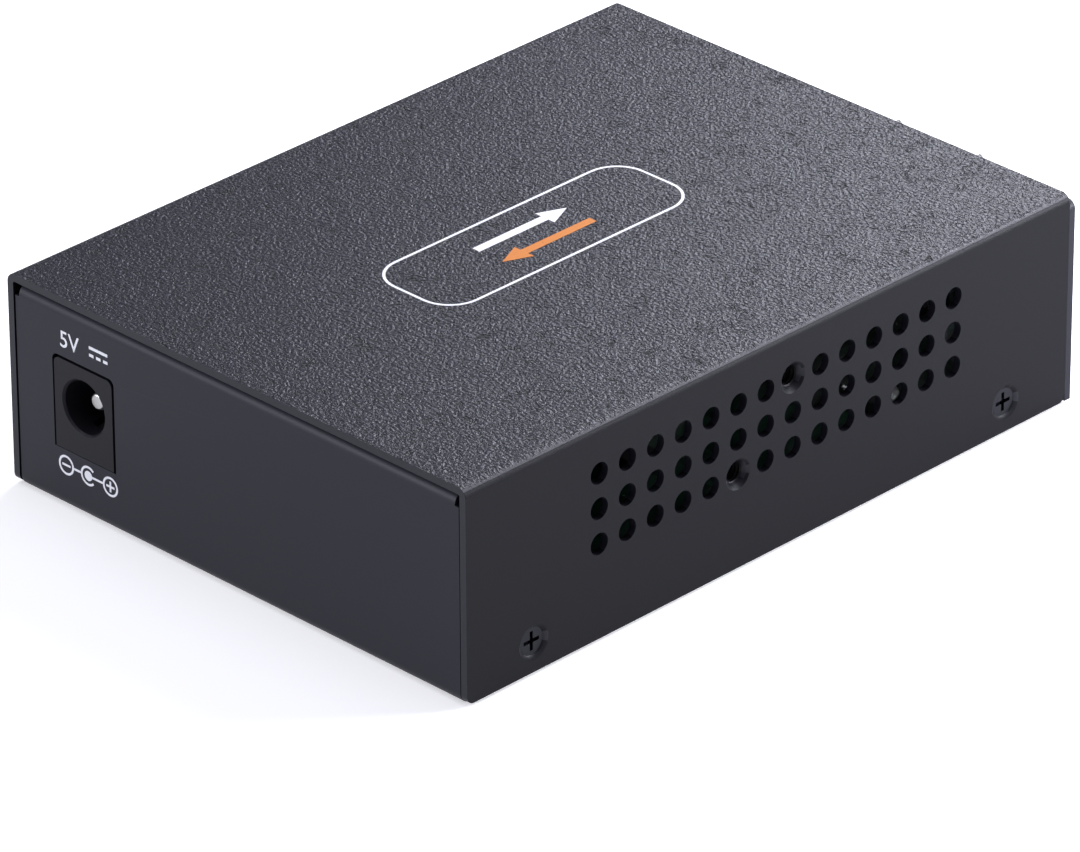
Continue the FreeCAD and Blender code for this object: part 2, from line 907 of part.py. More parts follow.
def rj45_shield():
    """Sheet shield round the socket, open at the bottom, with two legs."""
    half = rj_width / 2
    wall = rj_shield
    outline = rectangle(rj_centre - half, rj_centre + half, board_level, rj_roof)
    outer = prism("y", outline, rj_face, rj_back, [0, 0, rj_corner, rj_corner])
    hollow = rectangle(rj_centre - half + wall, rj_centre + half - wall, leg_bottom, rj_roof - wall)
    bend = rj_corner - wall
    inner = prism("y", hollow, rj_face + wall, rj_back - wall, [0, 0, bend, bend])
    shell = outer.cut([inner] + rj_opening(rj_shield_margin))
    legs = [upright(rj_centre + side * (half - wall / 2), rj_leg_y, wall, rj_leg_width, leg_bottom, board_level)
            for side in (-1, 1)]
    return joined([shell] + legs)


def rj45_housing():
    """Moulded insert with the stepped socket and comb slots for the contacts."""
    inset = rj_shield + thread_gap
    half = rj_width / 2 - inset
    outline = rectangle(rj_centre - half, rj_centre + half, board_level + thread_gap, rj_roof - inset)
    bend = rj_corner - rj_shield
    body = prism("y", outline, rj_face + inset, rj_back - inset, [0, 0, bend, bend])
    slots = [block(x - rj_slot_width / 2, x + rj_slot_width / 2, rj_face + rj_contact_start - rj_slot_end,
                   rj_socket_back + rj_contact_back + rj_slot_end, rj_socket_top - rj_contact_sink,
                   rj_socket_top + rj_slot_height)
             for x in rj_contact_places()]
    return body.cut(rj_opening(0.0) + slots)


def rj_contact_places():
    """X of each spring contact."""
    first = rj_centre - (rj_contact_count - 1) / 2 * rj_contact_pitch
    return [first + index * rj_contact_pitch for index in range(rj_contact_count)]


def rj45_contacts():
    """Sprung wires that lean back into the socket from its roof."""
    seat = rj_socket_top + rj_contact_sink
    half = rj_contact_width / 2
    start = rj_face + rj_contact_start
    root_path = [(start, seat), (rj_socket_back + rj_contact_back, seat)]
    arm_path = [(start + rj_contact_thickness, seat), (rj_socket_back - rj_contact_free, seat - rj_contact_drop)]
    pieces = []
    for x in rj_contact_places():
        root = bent_sheet("x", root_path, rj_contact_thickness, rj_contact_thickness, x - half, x + half)
        arm = bent_sheet("x", arm_path, rj_contact_thickness, rj_contact_thickness, x - half, x + half)
        pieces.append(joined([root, arm]))
    return pieces


# Cage of the optical module

def cage_leg_places():
    """Y of the cage's legs on each side."""
    first = board_front + board_cutback + cage_leg_front
    step = (cage_rear - cage_leg_rear - first) / (cage_leg_count - 1)
    return [first + index * step for index in range(cage_leg_count)]


def cage_walls():
    """Four folded walls and the closed rear, with the slot for the tongue and cooling holes."""
    left = cage_centre - cage_half
    right = cage_centre + cage_half
    outer = prism("y", rectangle(left, right, board_level, cage_roof), cage_face, cage_rear, cage_corner)
    hollow = rectangle(left + cage_wall, right - cage_wall, cage_floor, cage_ceiling)
    inner = prism("y", hollow, cage_face - 1, cage_rear - cage_wall, cage_corner - cage_wall)
    open_floor = block(left + cage_wall, right - cage_wall, cage_rear - cage_open_length,
                       cage_rear - cage_wall, leg_bottom, cage_floor + cage_wall)
    slot_half = tongue_width / 2 + tongue_gap
    slot = block(cage_centre - slot_half, cage_centre + slot_half, cage_face - 1, tongue_rear,
                 leg_bottom, cage_floor + TINY)
    vents = []
    for column in range(cage_vent_columns):
        x = cage_centre + (column - (cage_vent_columns - 1) / 2) * cage_vent_across
        for row in range(cage_vent_rows):
            y = cage_face + cage_vent_start + row * cage_vent_pitch
            vents.append(rod("z", x, y, cage_vent / 2, cage_ceiling - cage_wall, cage_roof + cage_wall))
    return outer.cut([inner, open_floor, slot] + vents)


def cage_tongue():
    """Sprung tongue under the cage's mouth, with the hole that holds the module's latch post."""
    half = tongue_width / 2
    low = board_level - tongue_drop
    path = [(cage_face + tongue_end, low), (tongue_rear - 2 * tongue_bend, low),
            (tongue_rear - tongue_bend, board_level), (tongue_rear + tongue_overlap, board_level)]
    tongue = bent_sheet("x", path, cage_wall, tongue_bend_radius, cage_centre - half, cage_centre + half)
    catch = block(cage_centre - post_width / 2 - post_gap, cage_centre + post_width / 2 + post_gap,
                  post_y - post_length - post_gap, post_y + post_gap, low - cage_wall, board_level)
    return tongue.cut(catch)


def sfp_cage():
    """Sheet cage with its sprung tongue and its legs."""
    legs = [upright(cage_centre + side * (cage_half - cage_wall / 2), y, cage_wall, cage_leg_width,
                    leg_bottom, cage_floor + cage_corner) for y in cage_leg_places() for side in (-1, 1)]
    return joined([cage_walls(), cage_tongue()] + legs)


def cage_gasket():
    """Spring ring round the cage's mouth: a band with fingers that bow out behind the panel."""
    wall = gasket_thickness
    start = cage_face + gasket_setback
    stop = start + gasket_band
    outer = block(cage_centre - cage_half - wall, cage_centre + cage_half + wall, start, stop,
                  board_level, cage_roof + wall)
    inner = block(cage_centre - cage_half, cage_centre + cage_half, start - 1, stop + 1, leg_bottom, cage_roof)
    shapes = [outer.cut(inner)]
    rise = cage_panel_gap - wall - gasket_rest
    reach = stop + gasket_reach
    bow = [(stop - gasket_root, 0), ((stop + reach) / 2, rise), (reach, 2 * gasket_rest)]
    width = (2 * cage_half - (gasket_top_fingers - 1) * gasket_finger_gap) / gasket_top_fingers
    for index in range(gasket_top_fingers):
        x = cage_centre - cage_half + index * (width + gasket_finger_gap)
        path = [(y, cage_roof + lift) for y, lift in bow]
        shapes.append(bent_sheet("x", path, wall, 2 * wall, x, x + width))
    height = (cage_roof - board_level - (gasket_side_fingers - 1) * gasket_finger_gap) / gasket_side_fingers
    for index in range(gasket_side_fingers):
        z = board_level + index * (height + gasket_finger_gap)
        path = [(cage_centre + cage_half + lift, y) for y, lift in bow]
        finger = bent_sheet("z", path[::-1], wall, 2 * wall, z, z + height)
        shapes += [finger, mirrored(finger, cage_centre)]
    return joined(shapes)


def host_connector():
    """Board connector that takes the module's board edge."""
    half = edge_board_width / 2 + host_wall
    start = shell_rear + host_front_gap
    body = block(cage_centre - half, cage_centre + half, start, cage_rear - cage_wall - host_rear_gap,
                 board_level, edge_board_top + host_cover)
    slot_half = edge_board_width / 2 + host_slot_side
    slot = block(cage_centre - slot_half, cage_centre + slot_half, start - 1, module_rear + host_slot_depth,
                 edge_board_bottom - host_slot_height, edge_board_top + host_slot_height)
    return body.cut(slot)


def host_contacts():
    """Two rows of contact strips above and below the module's board edge."""
    start = shell_rear + host_front_gap + host_contact_gap
    stop = module_rear + host_slot_depth - thread_gap
    lower = edge_board_bottom - host_contact_gap - host_contact_height
    upper = edge_board_top + host_contact_gap
    pieces = []
    for index in range(host_contact_count):
        x = cage_centre + (index - (host_contact_count - 1) / 2) * host_contact_pitch
        for low in (lower, upper):
            pieces.append(block(x - host_contact_width / 2, x + host_contact_width / 2, start, stop,
                                low, low + host_contact_height))
    return pieces


# Parts on the board

def chip_body(x, y, length, width, height, corner):
    """Moulded body that stands just clear of the board."""
    return prism("z", centred(x, y, length, width), board_level + body_lift, board_level + height, corner)


def lead_rows(x, y, count, pitch, width, reach):
    """Leads that stand out on both long sides of a body."""
    first = x - (count - 1) / 2 * pitch
    return [upright(first + index * pitch, y, lead_width, width + 2 * reach, board_level,
                    board_level + lead_height) for index in range(count)]


def network_chip():
    """Flat square chip with leads on four sides."""
    pitch = (chip_size - 2 * chip_margin) / (chip_lead_count - 1)
    edge = chip_y + chip_size / 2
    leads = []
    for index in range(chip_lead_count):
        x = chip_x - chip_size / 2 + chip_margin + index * pitch
        lead = upright(x, edge + (lead_reach - lead_width) / 2, lead_width, lead_reach + lead_width,
                       board_level, board_level + lead_height)
        for quarter in range(4):
            turned_lead = lead.copy()
            turned_lead.rotate(V(chip_x, chip_y, 0), V(0, 0, 1), 90 * quarter)
            leads.append(turned_lead)
    return joined([chip_body(chip_x, chip_y, chip_size, chip_size, chip_height, chip_corner)] + leads)


def lan_transformer():
    """Moulded transformer block behind the network socket."""
    y = rj_back + transformer_back
    body = chip_body(rj_centre, y, transformer_length, transformer_width, transformer_height, transformer_corner)
    return joined([body] + lead_rows(rj_centre, y, transformer_lead_count, transformer_pitch,
                                     transformer_width, transformer_lead_reach))


def crystal():
    """Can-shaped crystal lying beside the chip."""
    x = chip_x - crystal_side
    y = chip_y + crystal_back
    rim = board_level + crystal_rim_height
    flange = prism("z", centred(x, y, crystal_length, crystal_width), board_level, rim,
                   crystal_width / 2 - thread_gap)
    length = crystal_length - 2 * crystal_rim
    width = crystal_width - 2 * crystal_rim
    can = prism("z", centred(x, y, length, width), rim, board_level + crystal_height, width / 2 - thread_gap)
    return joined([flange, can])


def power_inductor():
    """Wound choke: square base and lid round a drum."""
    x = jack_centre - choke_side
    outline = centred(x, supply_y, choke_width, choke_width)
    low = board_level + choke_base
    top = board_level + choke_height
    base = prism("z", outline, board_level, low, choke_corner)
    drum = rod("z", x, supply_y, choke_drum / 2, low, top - choke_base)
    lid = prism("z", outline, top - choke_base, top, choke_corner)
    return joined([base, drum, lid])


def electrolytic_capacitors():
    """Two can capacitors on square bases, each with a crimped neck."""
    radius = can_diameter / 2
    neck = radius - can_neck
    low = board_level + can_base
    top = board_level + can_height
    profile = [(low, 0), (low, neck), (low + can_neck, radius), (low + 2 * can_neck, radius),
               (low + 3 * can_neck, neck), (low + 4 * can_neck, radius), (top - can_neck, radius), (top, neck), (top, 0)]
    pieces = []
    for index in range(can_count):
        x = jack_centre - can_side - index * can_pitch
        base = prism("z", centred(x, supply_y, can_width, can_width), board_level, low, [can_bevel, 0, 0, can_bevel])
        pieces.append(joined([base, turned("z", x, supply_y, profile)]))
    return pieces


def voltage_regulator():
    """Small supply chip in front of the power socket."""
    x = jack_centre - regulator_side
    y = jack_back - regulator_back
    body = chip_body(x, y, regulator_length, regulator_width, regulator_height, small_chip_corner)
    pitch = regulator_length / regulator_lead_count
    return joined([body] + lead_rows(x, y, regulator_lead_count, pitch, regulator_width, lead_reach))


def flash_chip():
    """Small memory chip on the left of the board."""
    x = -board_half + memory_side_inset
    y = chip_y - memory_forward
    body = chip_body(x, y, memory_length, memory_width, memory_height, small_chip_corner)
    pitch = memory_length / memory_lead_count
    return joined([body] + lead_rows(x, y, memory_lead_count, pitch, memory_width, lead_reach))


# Status lights

def light_places():
    """X of each light guide, in a row midway between the cage and the case's side."""
    first = light_middle - (light_count - 1) / 2 * light_pitch
    return [first + index * light_pitch for index in range(light_count)]


def light_guide(x):
    """Clear rod from the panel that turns down to its lamp, on a foot."""
    radius = light_diameter / 2
    tube = rod("y", x, light_z, radius, front - light_proud, light_back)
    low = board_level + lamp_height + lamp_gap
    top = light_z + radius
    elbow = prism("x", [(light_heel, low), (light_back, low), (light_back, top - light_bevel),
                        (light_back - light_bevel, top), (light_heel, top)], x - radius, x + radius)
    foot_front = light_heel - light_foot
    foot = block(x - radius, x + radius, foot_front, light_back, board_level, board_level + light_foot_height)
    hollow = block(x - lamp_width / 2 - lamp_gap, x + lamp_width / 2 + lamp_gap, light_heel - lamp_gap,
                   light_back + 1, leg_bottom, low + TINY)
    post = block(x - radius, x + radius, foot_front, light_heel, board_level, light_z)
    return joined([tube, elbow, foot.cut(hollow), post])


def light_guides():
    """One light guide for each lamp."""
    return [light_guide(x) for x in light_places()]


def status_leds():
    """Small lamps on the board, one under each light guide."""
    middle = (light_heel + light_back) / 2
    return [upright(x, middle, lamp_width, lamp_depth, board_level, board_level + lamp_height)
            for x in light_places()]


# Optical module

def port_centres():
    """X of the two optical ports."""
    return (laser_x, detector_x)


def lever_channel(start, stop, roof):
    """Channel for the latch lever along the module's underside."""
    half = lever_width / 2 + lever_side_gap
    return block(cage_centre - half, cage_centre + half, start, stop, nose_bottom - 1, roof)


def module_shell():
    """Metal shell of the module: walls, rails along the top, open rear, slot for the latch."""
    left = cage_centre - module_half
    right = cage_centre + module_half
    shell = prism("y", rectangle(left, right, module_bottom, module_top), nose_rear, shell_rear, module_edge)
    wall = module_wall
    hollow = block(left + wall, right - wall, nose_rear + module_front_wall, shell_rear + 1,
                   module_bottom + wall, recess_floor - wall)
    recess = block(left + rail_width, right - rail_width, recess_front, shell_rear + 1,
                   recess_floor, module_top + 1)
    slot_front = nose_rear + module_slot_start
    slots = [block(x - wall, x + wall, slot_front, slot_front + module_slot_length,
                   module_middle - module_slot_height / 2, module_middle + module_slot_height / 2)
             for x in (left, right)]
    bores = [rod("y", x, module_middle, barrel_diameter / 2, nose_rear - 1, nose_rear + module_front_wall + wall)
             for x in port_centres()]
    channel = lever_channel(nose_rear - 1, post_y + lever_thickness, module_bottom + lever_roof)
    return shell.cut([hollow, recess, channel] + slots + bores)


def label_plate():
    """Bare plate stuck in the recess on top of the shell."""
    half = module_half - rail_width - label_side_gap
    return block(cage_centre - half, cage_centre + half, recess_front + label_inset,
                 shell_rear - label_inset, recess_floor, recess_floor + label_thickness)


def port_cuts(x):
    """Plug opening, slot for the plug's catch, flared mouth and bore of one optical port."""
    low = module_middle - port_height / 2
    high = low + port_height
    plug = block(x - port_width / 2, x + port_width / 2, nose_face - 1, nose_face + port_depth, low, high)
    catch = block(x - port_latch_width / 2, x + port_latch_width / 2, nose_face - 1,
                  nose_face + port_depth - port_latch_back, low, high + port_latch_height)
    throat = rectangle(x - port_width / 2, x + port_width / 2, low, high)
    mouth = rectangle(x - port_width / 2 - port_lead, x + port_width / 2 + port_lead,
                      low - port_lead, high + port_lead)
    flare = funnel("y", mouth, throat, nose_face, nose_face + port_lead)
    bore = rod("y", x, module_middle, barrel_diameter / 2, nose_face, nose_rear + 1)
    return [plug, catch, flare, bore]


def pivot_cuts(side):
    """Open pocket for the bail's bend and the bore for its end, on one side."""
    inside = cage_centre + side * pocket_inside
    outside = cage_centre + side * (nose_half + 1)
    reach = wire_radius + pocket_gap
    pocket = block(min(inside, outside), max(inside, outside), nose_face - 1, pivot_y + reach,
                   nose_bottom - 1, pivot_z + reach)
    bore = rod("x", pivot_y, pivot_z, wire_radius + wire_run, inside - side * pivot_bore_depth,
               inside + side * TINY)
    return [pocket, bore]


def module_nose():
    """Die-cast nose: two ports, pivot pockets for the bail and a channel for the latch."""
    outline = rectangle(cage_centre - nose_half, cage_centre + nose_half, nose_bottom, nose_top)
    body = prism("y", outline, nose_face, nose_rear, nose_edge)
    front_edges = [edge for edge in body.Edges if all(abs(v.Point.y - nose_face) < TINY for v in edge.Vertexes)
                   and edge.CenterOfMass.z > nose_top - TINY]
    body = body.makeFillet(nose_edge, front_edges)
    pin_reach = lever_width / 2 + lever_pin_length + lever_pin_end_gap
    cuts = [lever_channel(nose_face - 1, nose_rear + 1, nose_bottom + lever_roof - wire_run),
            rod("x", lever_pin_y, lever_pin_z, lever_pin_diameter / 2 + wire_run,
                cage_centre - pin_reach, cage_centre + pin_reach)]
    for x in port_centres():
        cuts += port_cuts(x)
    for side in (-1, 1):
        cuts += pivot_cuts(side)
    return body.cut(cuts)


def optic_barrel(x):
    """Metal receptacle with a fine bore, from inside the port to the module's board."""
    tip = nose_face + barrel_setback
    radius = barrel_diameter / 2 - thread_gap
    body = turned("y", x, module_middle, [(tip, 0), (tip, radius - barrel_edge), (tip + barrel_edge, radius),
                                          (edge_board_front, radius), (edge_board_front, 0)])
    return body.cut(rod("y", x, module_middle, barrel_bore / 2, tip - 1, tip + barrel_bore_depth))


def emi_collar():
    """Spring band round the shell behind the nose, with raised leaves on top and at the sides."""
    wall = collar_thickness
    half = module_half + wall
    start = nose_rear + collar_start
    stop = start + collar_band
    outer = block(cage_centre - half, cage_centre + half, start, stop, module_bottom - wall, module_top + wall)
    inner = block(cage_centre - module_half, cage_centre + module_half, start - 1, stop + 1,
                  module_bottom, module_top)
    shapes = [outer.cut([inner, lever_channel(start - 1, stop + 1, module_bottom + collar_channel)])]
    tip = stop + collar_leaf_length
    for side in (-1, 1):
        x = cage_centre + side * collar_leaf_across / 2
        shapes.append(block(x - collar_leaf_width / 2, x + collar_leaf_width / 2, stop - wall, tip,
                            module_top, module_top + wall))
        edge = cage_centre + side * (module_half + wall / 2)
        shapes.append(block(edge - wall / 2, edge + wall / 2, stop - wall, tip,
                            module_middle - collar_side_leaf / 2, module_middle + collar_side_leaf / 2))
    return joined(shapes)


def module_board():
    """The module's own board, which ends in the edge contacts."""
    half = edge_board_width / 2
    bevel = edge_board_bevel
    outline = [(cage_centre - half, edge_board_front), (cage_centre + half, edge_board_front),
               (cage_centre + half, module_rear - bevel), (cage_centre + half - bevel, module_rear),
               (cage_centre - half + bevel, module_rear), (cage_centre - half, module_rear - bevel)]
    return prism("z", outline, edge_board_bottom, edge_board_top)


def bail_wire():
    """One bent wire: two pivot ends, two legs and the bar over the nose."""
    inner = pocket_inside - pivot_bore_depth + wire_end_gap
    side = [(inner, pivot_y, pivot_z), (wire_half, pivot_y, pivot_z), (wire_half, leg_y, pivot_z),
            (wire_half, leg_y, bar_z), (wire_half, bar_y, bar_z)]
    left = [V(cage_centre - x, y, z) for x, y, z in side]
    right = [V(cage_centre + x, y, z) for x, y, z in side[::-1]]
    tight = wire_radius + wire_run
    radii = [0, tight, tight, wire_corner, wire_corner]
    path = rounded_wire(left + right, radii + radii[::-1], closed=False)
    return round_bar(path, wire_radius)


def bail_grip():
    """Coloured sleeve on the bar of the bail."""
    radius = grip_diameter / 2
    bore = wire_radius + thread_gap
    end = grip_length / 2
    profile = [(-end, bore), (-end, radius - grip_edge), (grip_edge - end, radius), (end - grip_edge, radius),
               (end, radius - grip_edge), (end, bore)]
    return turned("x", bar_y, bar_z, [(cage_centre + along, r) for along, r in profile])


def latch_lever():
    """Folded lever under the nose: release tab, pivot ears and the latch post."""
    half = lever_width / 2
    tip = nose_face + lever_tip
    path = [(post_y, lever_bottom), (tip, lever_bottom), (tip, lever_bottom - tab_drop)]
    plate = bent_sheet("x", path, -lever_thickness, lever_bend, cage_centre - half, cage_centre + half)
    pin = rod("x", lever_pin_y, lever_pin_z, lever_pin_diameter / 2,
              cage_centre - half - lever_pin_length, cage_centre + half + lever_pin_length)
    low = board_level - post_drop
    post = prism("x", [(post_y - post_length, lever_bottom + TINY), (post_y - post_flat, low), (post_y, low),
                       (post_y, lever_bottom + lever_thickness)],
                 cage_centre - post_width / 2, cage_centre + post_width / 2)
    return joined([plate, pin, post])


def build():
    """Make every node and write its file."""
    os.makedirs("parts", exist_ok=True)
    nodes = {
        "base_tray": [base_tray()],
        "top_cover": [top_cover()],
        "cover_screws": cover_screws(),
        "board_standoffs": board_standoffs(),
        "board_screws": board_screws(),
        "main_board": [main_board()],
        "dc_jack_housing": [dc_jack_housing()],
        "dc_jack_pin": [dc_jack_pin()],
        "dc_jack_contacts": dc_jack_contacts(),
        "rj45_shield": [rj45_shield()],
        "rj45_housing": [rj45_housing()],
        "rj45_contacts": rj45_contacts(),
        "sfp_cage": [sfp_cage()],
        "cage_gasket": [cage_gasket()],
        "host_connector": [host_connector()],
        "host_contacts": host_contacts(),
        "network_chip": [network_chip()],
        "lan_transformer": [lan_transformer()],
        "crystal": [crystal()],
        "power_inductor": [power_inductor()],
        "electrolytic_capacitors": electrolytic_capacitors(),
        "voltage_regulator": [voltage_regulator()],
        "flash_chip": [flash_chip()],
        "status_leds": status_leds(),
        "light_guides": light_guides(),
        "module_shell": [module_shell()],
        "module_nose": [module_nose()],
        "emi_collar": [emi_collar()],
        "module_board": [module_board()],
        "laser_barrel": [optic_barrel(laser_x)],
        "detector_barrel": [optic_barrel(detector_x)],
        "label_plate": [label_plate()],
        "bail_wire": [bail_wire()],
        "bail_grip": [bail_grip()],
        "latch_lever": [latch_lever()],
    }
    for name, shapes in nodes.items():
        write(name, shapes)


build()
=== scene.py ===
import json
import logging
import math
from abc import ABC, abstractmethod
from dataclasses import dataclass
from enum import Enum
from typing import Sequence

import bmesh
import bpy
import numpy as np
from mathutils import Matrix, Vector


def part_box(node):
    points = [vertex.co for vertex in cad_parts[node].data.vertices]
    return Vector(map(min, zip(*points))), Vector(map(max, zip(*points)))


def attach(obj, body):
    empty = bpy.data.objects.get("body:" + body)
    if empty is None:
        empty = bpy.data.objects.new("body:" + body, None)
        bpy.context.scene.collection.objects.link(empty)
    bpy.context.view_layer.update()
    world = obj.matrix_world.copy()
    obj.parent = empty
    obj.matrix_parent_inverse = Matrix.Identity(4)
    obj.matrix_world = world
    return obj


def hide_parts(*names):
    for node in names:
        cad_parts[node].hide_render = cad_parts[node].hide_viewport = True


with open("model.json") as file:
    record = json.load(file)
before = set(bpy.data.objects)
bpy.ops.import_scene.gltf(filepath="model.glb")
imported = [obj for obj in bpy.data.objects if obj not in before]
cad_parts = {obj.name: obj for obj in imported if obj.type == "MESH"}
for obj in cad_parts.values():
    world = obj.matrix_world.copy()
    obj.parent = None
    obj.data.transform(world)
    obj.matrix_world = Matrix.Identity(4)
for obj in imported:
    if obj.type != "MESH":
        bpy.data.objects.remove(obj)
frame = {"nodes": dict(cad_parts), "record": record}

# Looks of a stand-alone fibre media converter: a dark folded steel box with vented sides.
# Metres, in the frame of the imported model: front is -Y, rear is +Y, up is +Z.

LOG = logging.getLogger("media_converter")
MM = 0.001
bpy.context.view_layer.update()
Array = np.ndarray
Piece = bpy.types.Object
Tree = bpy.types.NodeTree
Node = bpy.types.Node
Socket = bpy.types.NodeSocket
Flat = tuple[float, float]
Place = tuple[float, float, float]
Colour = tuple[float, float, float, float]

MERGE_DISTANCE = 2e-7
WELD_DISTANCE = 1e-7
FLAT_ANGLE = math.radians(0.5)
CREASE_DEGREES = 32.0
SHARP_DEGREES = 35.0
EDGE_STEPS = 2


class Body(Enum):
    """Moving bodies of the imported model."""

    CHASSIS = "chassis"
    MODULE = "module"
    BAIL = "bail"
    LATCH = "latch"


class Bench:
    """Short ways to add nodes to one node tree."""

    def __init__(self, tree: Tree) -> None:
        """Keep the tree that the nodes go to."""
        self.tree = tree

    def add(self, kind: str, settings: dict | None = None, inputs: dict | None = None) -> Node:
        """Add a node, set its properties and fill or link its inputs.

        Args:
            kind: Blender's name of the node type.
            settings: Property values of the node.
            inputs: Socket name or number to a value or to another node's output.

        Returns:
            The new node.
        """
        node = self.tree.nodes.new(kind)
        for name, value in (settings or {}).items():
            setattr(node, name, value)
        self.fill(node, inputs or {})
        return node

    def fill(self, node: Node, inputs: dict) -> None:
        """Link or set a node's inputs.

        Args:
            node: The node.
            inputs: Socket name or number to a value or to another node's output.
        """
        for name, value in inputs.items():
            if isinstance(value, Socket):
                self.tree.links.new(value, node.inputs[name])
            else:
                node.inputs[name].default_value = value

    def math(self, operation: str, first: object, second: object = 0.0,
             third: object = 0.0) -> Socket:
        """Result of one operation on up to three values."""
        node = self.add("ShaderNodeMath", {"operation": operation}, {0: first, 1: second, 2: third})
        return node.outputs[0]

    def times(self, first: object, *factors: object) -> Socket:
        """Product of all the values."""
        for factor in factors:
            first = self.math("MULTIPLY", first, factor)
        return first

    def step(self, value: object, low: float, high: float) -> Socket:
        """Smooth step from 0 at low to 1 at high."""
        node = self.add("ShaderNodeMapRange", {"interpolation_type": "SMOOTHSTEP"},
                        {"Value": value, "From Min": low, "From Max": high})
        return node.outputs["Result"]

    def noise(self, vector: object, scale: float, detail: float = 2.0, roughness: float = 0.5,
              distortion: float = 0.0) -> Socket:
        """Value of a soft noise with the given scale per metre."""
        inputs = {"Vector": vector, "Scale": scale, "Detail": detail, "Roughness": roughness,
                  "Distortion": distortion}
        return self.add("ShaderNodeTexNoise", None, inputs).outputs["Fac"]

    def blend(self, mask: object, first: object, second: object) -> Socket:
        """Colour between two colours by a mask."""
        node = self.add("ShaderNodeMix", {"data_type": "RGBA"}, {0: mask, 6: first, 7: second})
        return node.outputs[2]

    def bump(self, height: object, distance: float) -> Socket:
        """Normal tilted by a height in units of the given distance."""
        inputs = {"Height": height, "Distance": distance, "Strength": 1.0}
        return self.add("ShaderNodeBump", None, inputs).outputs["Normal"]

    def place(self) -> Socket:
        """Object coordinates, in metres."""
        return self.add("ShaderNodeTexCoord").outputs["Object"]


def new_group(name: str, inputs: dict[str, float],
              outputs: Sequence[str]) -> tuple[Tree, Bench, Node, Node, Socket]:
    """Start a shader node group whose pattern lies in a vector divided by a size.

    Args:
        name: Name of the group.
        inputs: Name and default of each number that goes in besides the vector; one is Size.
        outputs: Name of each number that comes out.

    Returns:
        The group, a bench for it, its input node, its output node and the divided vector.
    """
    group = bpy.data.node_groups.new(name, "ShaderNodeTree")
    group.interface.new_socket(name="Vector", in_out="INPUT", socket_type="NodeSocketVector")
    for label, default in inputs.items():
        socket = group.interface.new_socket(name=label, in_out="INPUT",
                                            socket_type="NodeSocketFloat")
        socket.default_value = default
    for label in outputs:
        group.interface.new_socket(name=label, in_out="OUTPUT", socket_type="NodeSocketFloat")
    bench = Bench(group)
    source, result = bench.add("NodeGroupInput"), bench.add("NodeGroupOutput")
    scale = bench.math("DIVIDE", 1.0, source.outputs["Size"])
    scaled = bench.add("ShaderNodeVectorMath", {"operation": "SCALE"},
                       {0: source.outputs["Vector"], "Scale": scale})
    return group, bench, source, result, scaled.outputs[0]


def wrinkle_group() -> Tree:
    """Wrinkle powder coat: fine pebbles, sharp gaps between them and sparse curved dents.

    The pebbles are a noise, the gaps are where a finer noise passes a threshold, and a dent is
    where a broad warped noise crosses its middle value inside sparse patches.
    """
    group, bench, source, result, place = new_group(
        "wrinkle_coat", {"Size": 0.5 * MM, "Dents": 1.0}, ("Height", "Gaps", "Crests"))
    pebbles = bench.noise(place, scale=1.0, detail=1.5, roughness=0.6, distortion=0.4)
    finer = bench.noise(place, scale=1.3, detail=1.0, distortion=0.6)
    gaps = bench.step(finer, low=0.57, high=0.68)
    crests = bench.step(pebbles, low=0.55, high=0.68)
    warp = bench.noise(place, scale=0.2, detail=1.5, distortion=1.2)
    ridge = bench.math("ABSOLUTE", bench.math("SUBTRACT", warp, 0.5))
    line = bench.math("SUBTRACT", 1.0, bench.step(ridge, low=0.0, high=0.03))
    sparse = bench.step(bench.noise(place, scale=0.17, detail=0.0), low=0.60, high=0.67)
    dents = bench.times(line, sparse, source.outputs["Dents"])
    gap_depth, dent_depth = 0.45, 0.8
    height = bench.math("SUBTRACT", pebbles, bench.times(gaps, gap_depth))
    height = bench.math("SUBTRACT", height, bench.times(dents, dent_depth))
    gaps = bench.math("MAXIMUM", gaps, dents)
    bench.fill(result, {"Height": height, "Gaps": gaps, "Crests": crests})
    return group


def grain_group() -> Tree:
    """Fine even grain of satin paint or of a moulded surface."""
    group, bench, _, result, place = new_group("fine_grain", {"Size": 0.3 * MM},
                                               ("Height", "Variation"))
    fine = bench.noise(place, scale=1.0, roughness=0.55)
    broad = bench.noise(place, scale=0.02)
    bench.fill(result, {"Height": fine, "Variation": broad})
    return group


def brush_group() -> Tree:
    """Fine lines of rolled or ground metal along one axis, as a value from 0 to 1."""
    group, bench, source, result, place = new_group(
        "rolled_lines", {"Size": 0.2 * MM, "Stretch": 30.0}, ("Height", "Variation"))
    parts = bench.add("ShaderNodeSeparateXYZ", None, {0: place})
    along = bench.math("DIVIDE", parts.outputs[1], source.outputs["Stretch"])
    joined = bench.add("ShaderNodeCombineXYZ", None,
                       {0: parts.outputs[0], 1: along, 2: parts.outputs[2]})
    lines = bench.noise(joined.outputs[0], scale=1.0, roughness=0.6)
    bench.fill(result, {"Height": lines, "Variation": bench.noise(place, scale=0.03)})
    return group


class Effects:
    """The shared node groups, each built once."""

    _made: dict[str, Tree] = {}
    _makers = {"wrinkle_coat": wrinkle_group, "fine_grain": grain_group,
               "rolled_lines": brush_group}

    @classmethod
    def use(cls, bench: Bench, name: str, inputs: dict) -> Node:
        """Place a group in a material with its own values.

        Args:
            bench: Bench of the material's tree.
            name: Name of the group.
            inputs: Values or links for the group's inputs.

        Returns:
            The group node.
        """
        if name not in cls._made:
            cls._made[name] = cls._makers[name]()
        return bench.add("ShaderNodeGroup", {"node_tree": cls._made[name]}, inputs)


def linear(value: float) -> float:
    """Linear value of one sRGB value of 0 to 255: the standard curve with its straight foot."""
    part = value / 255
    return part / 12.92 if part <= 0.04045 else ((part + 0.055) / 1.055) ** 2.4


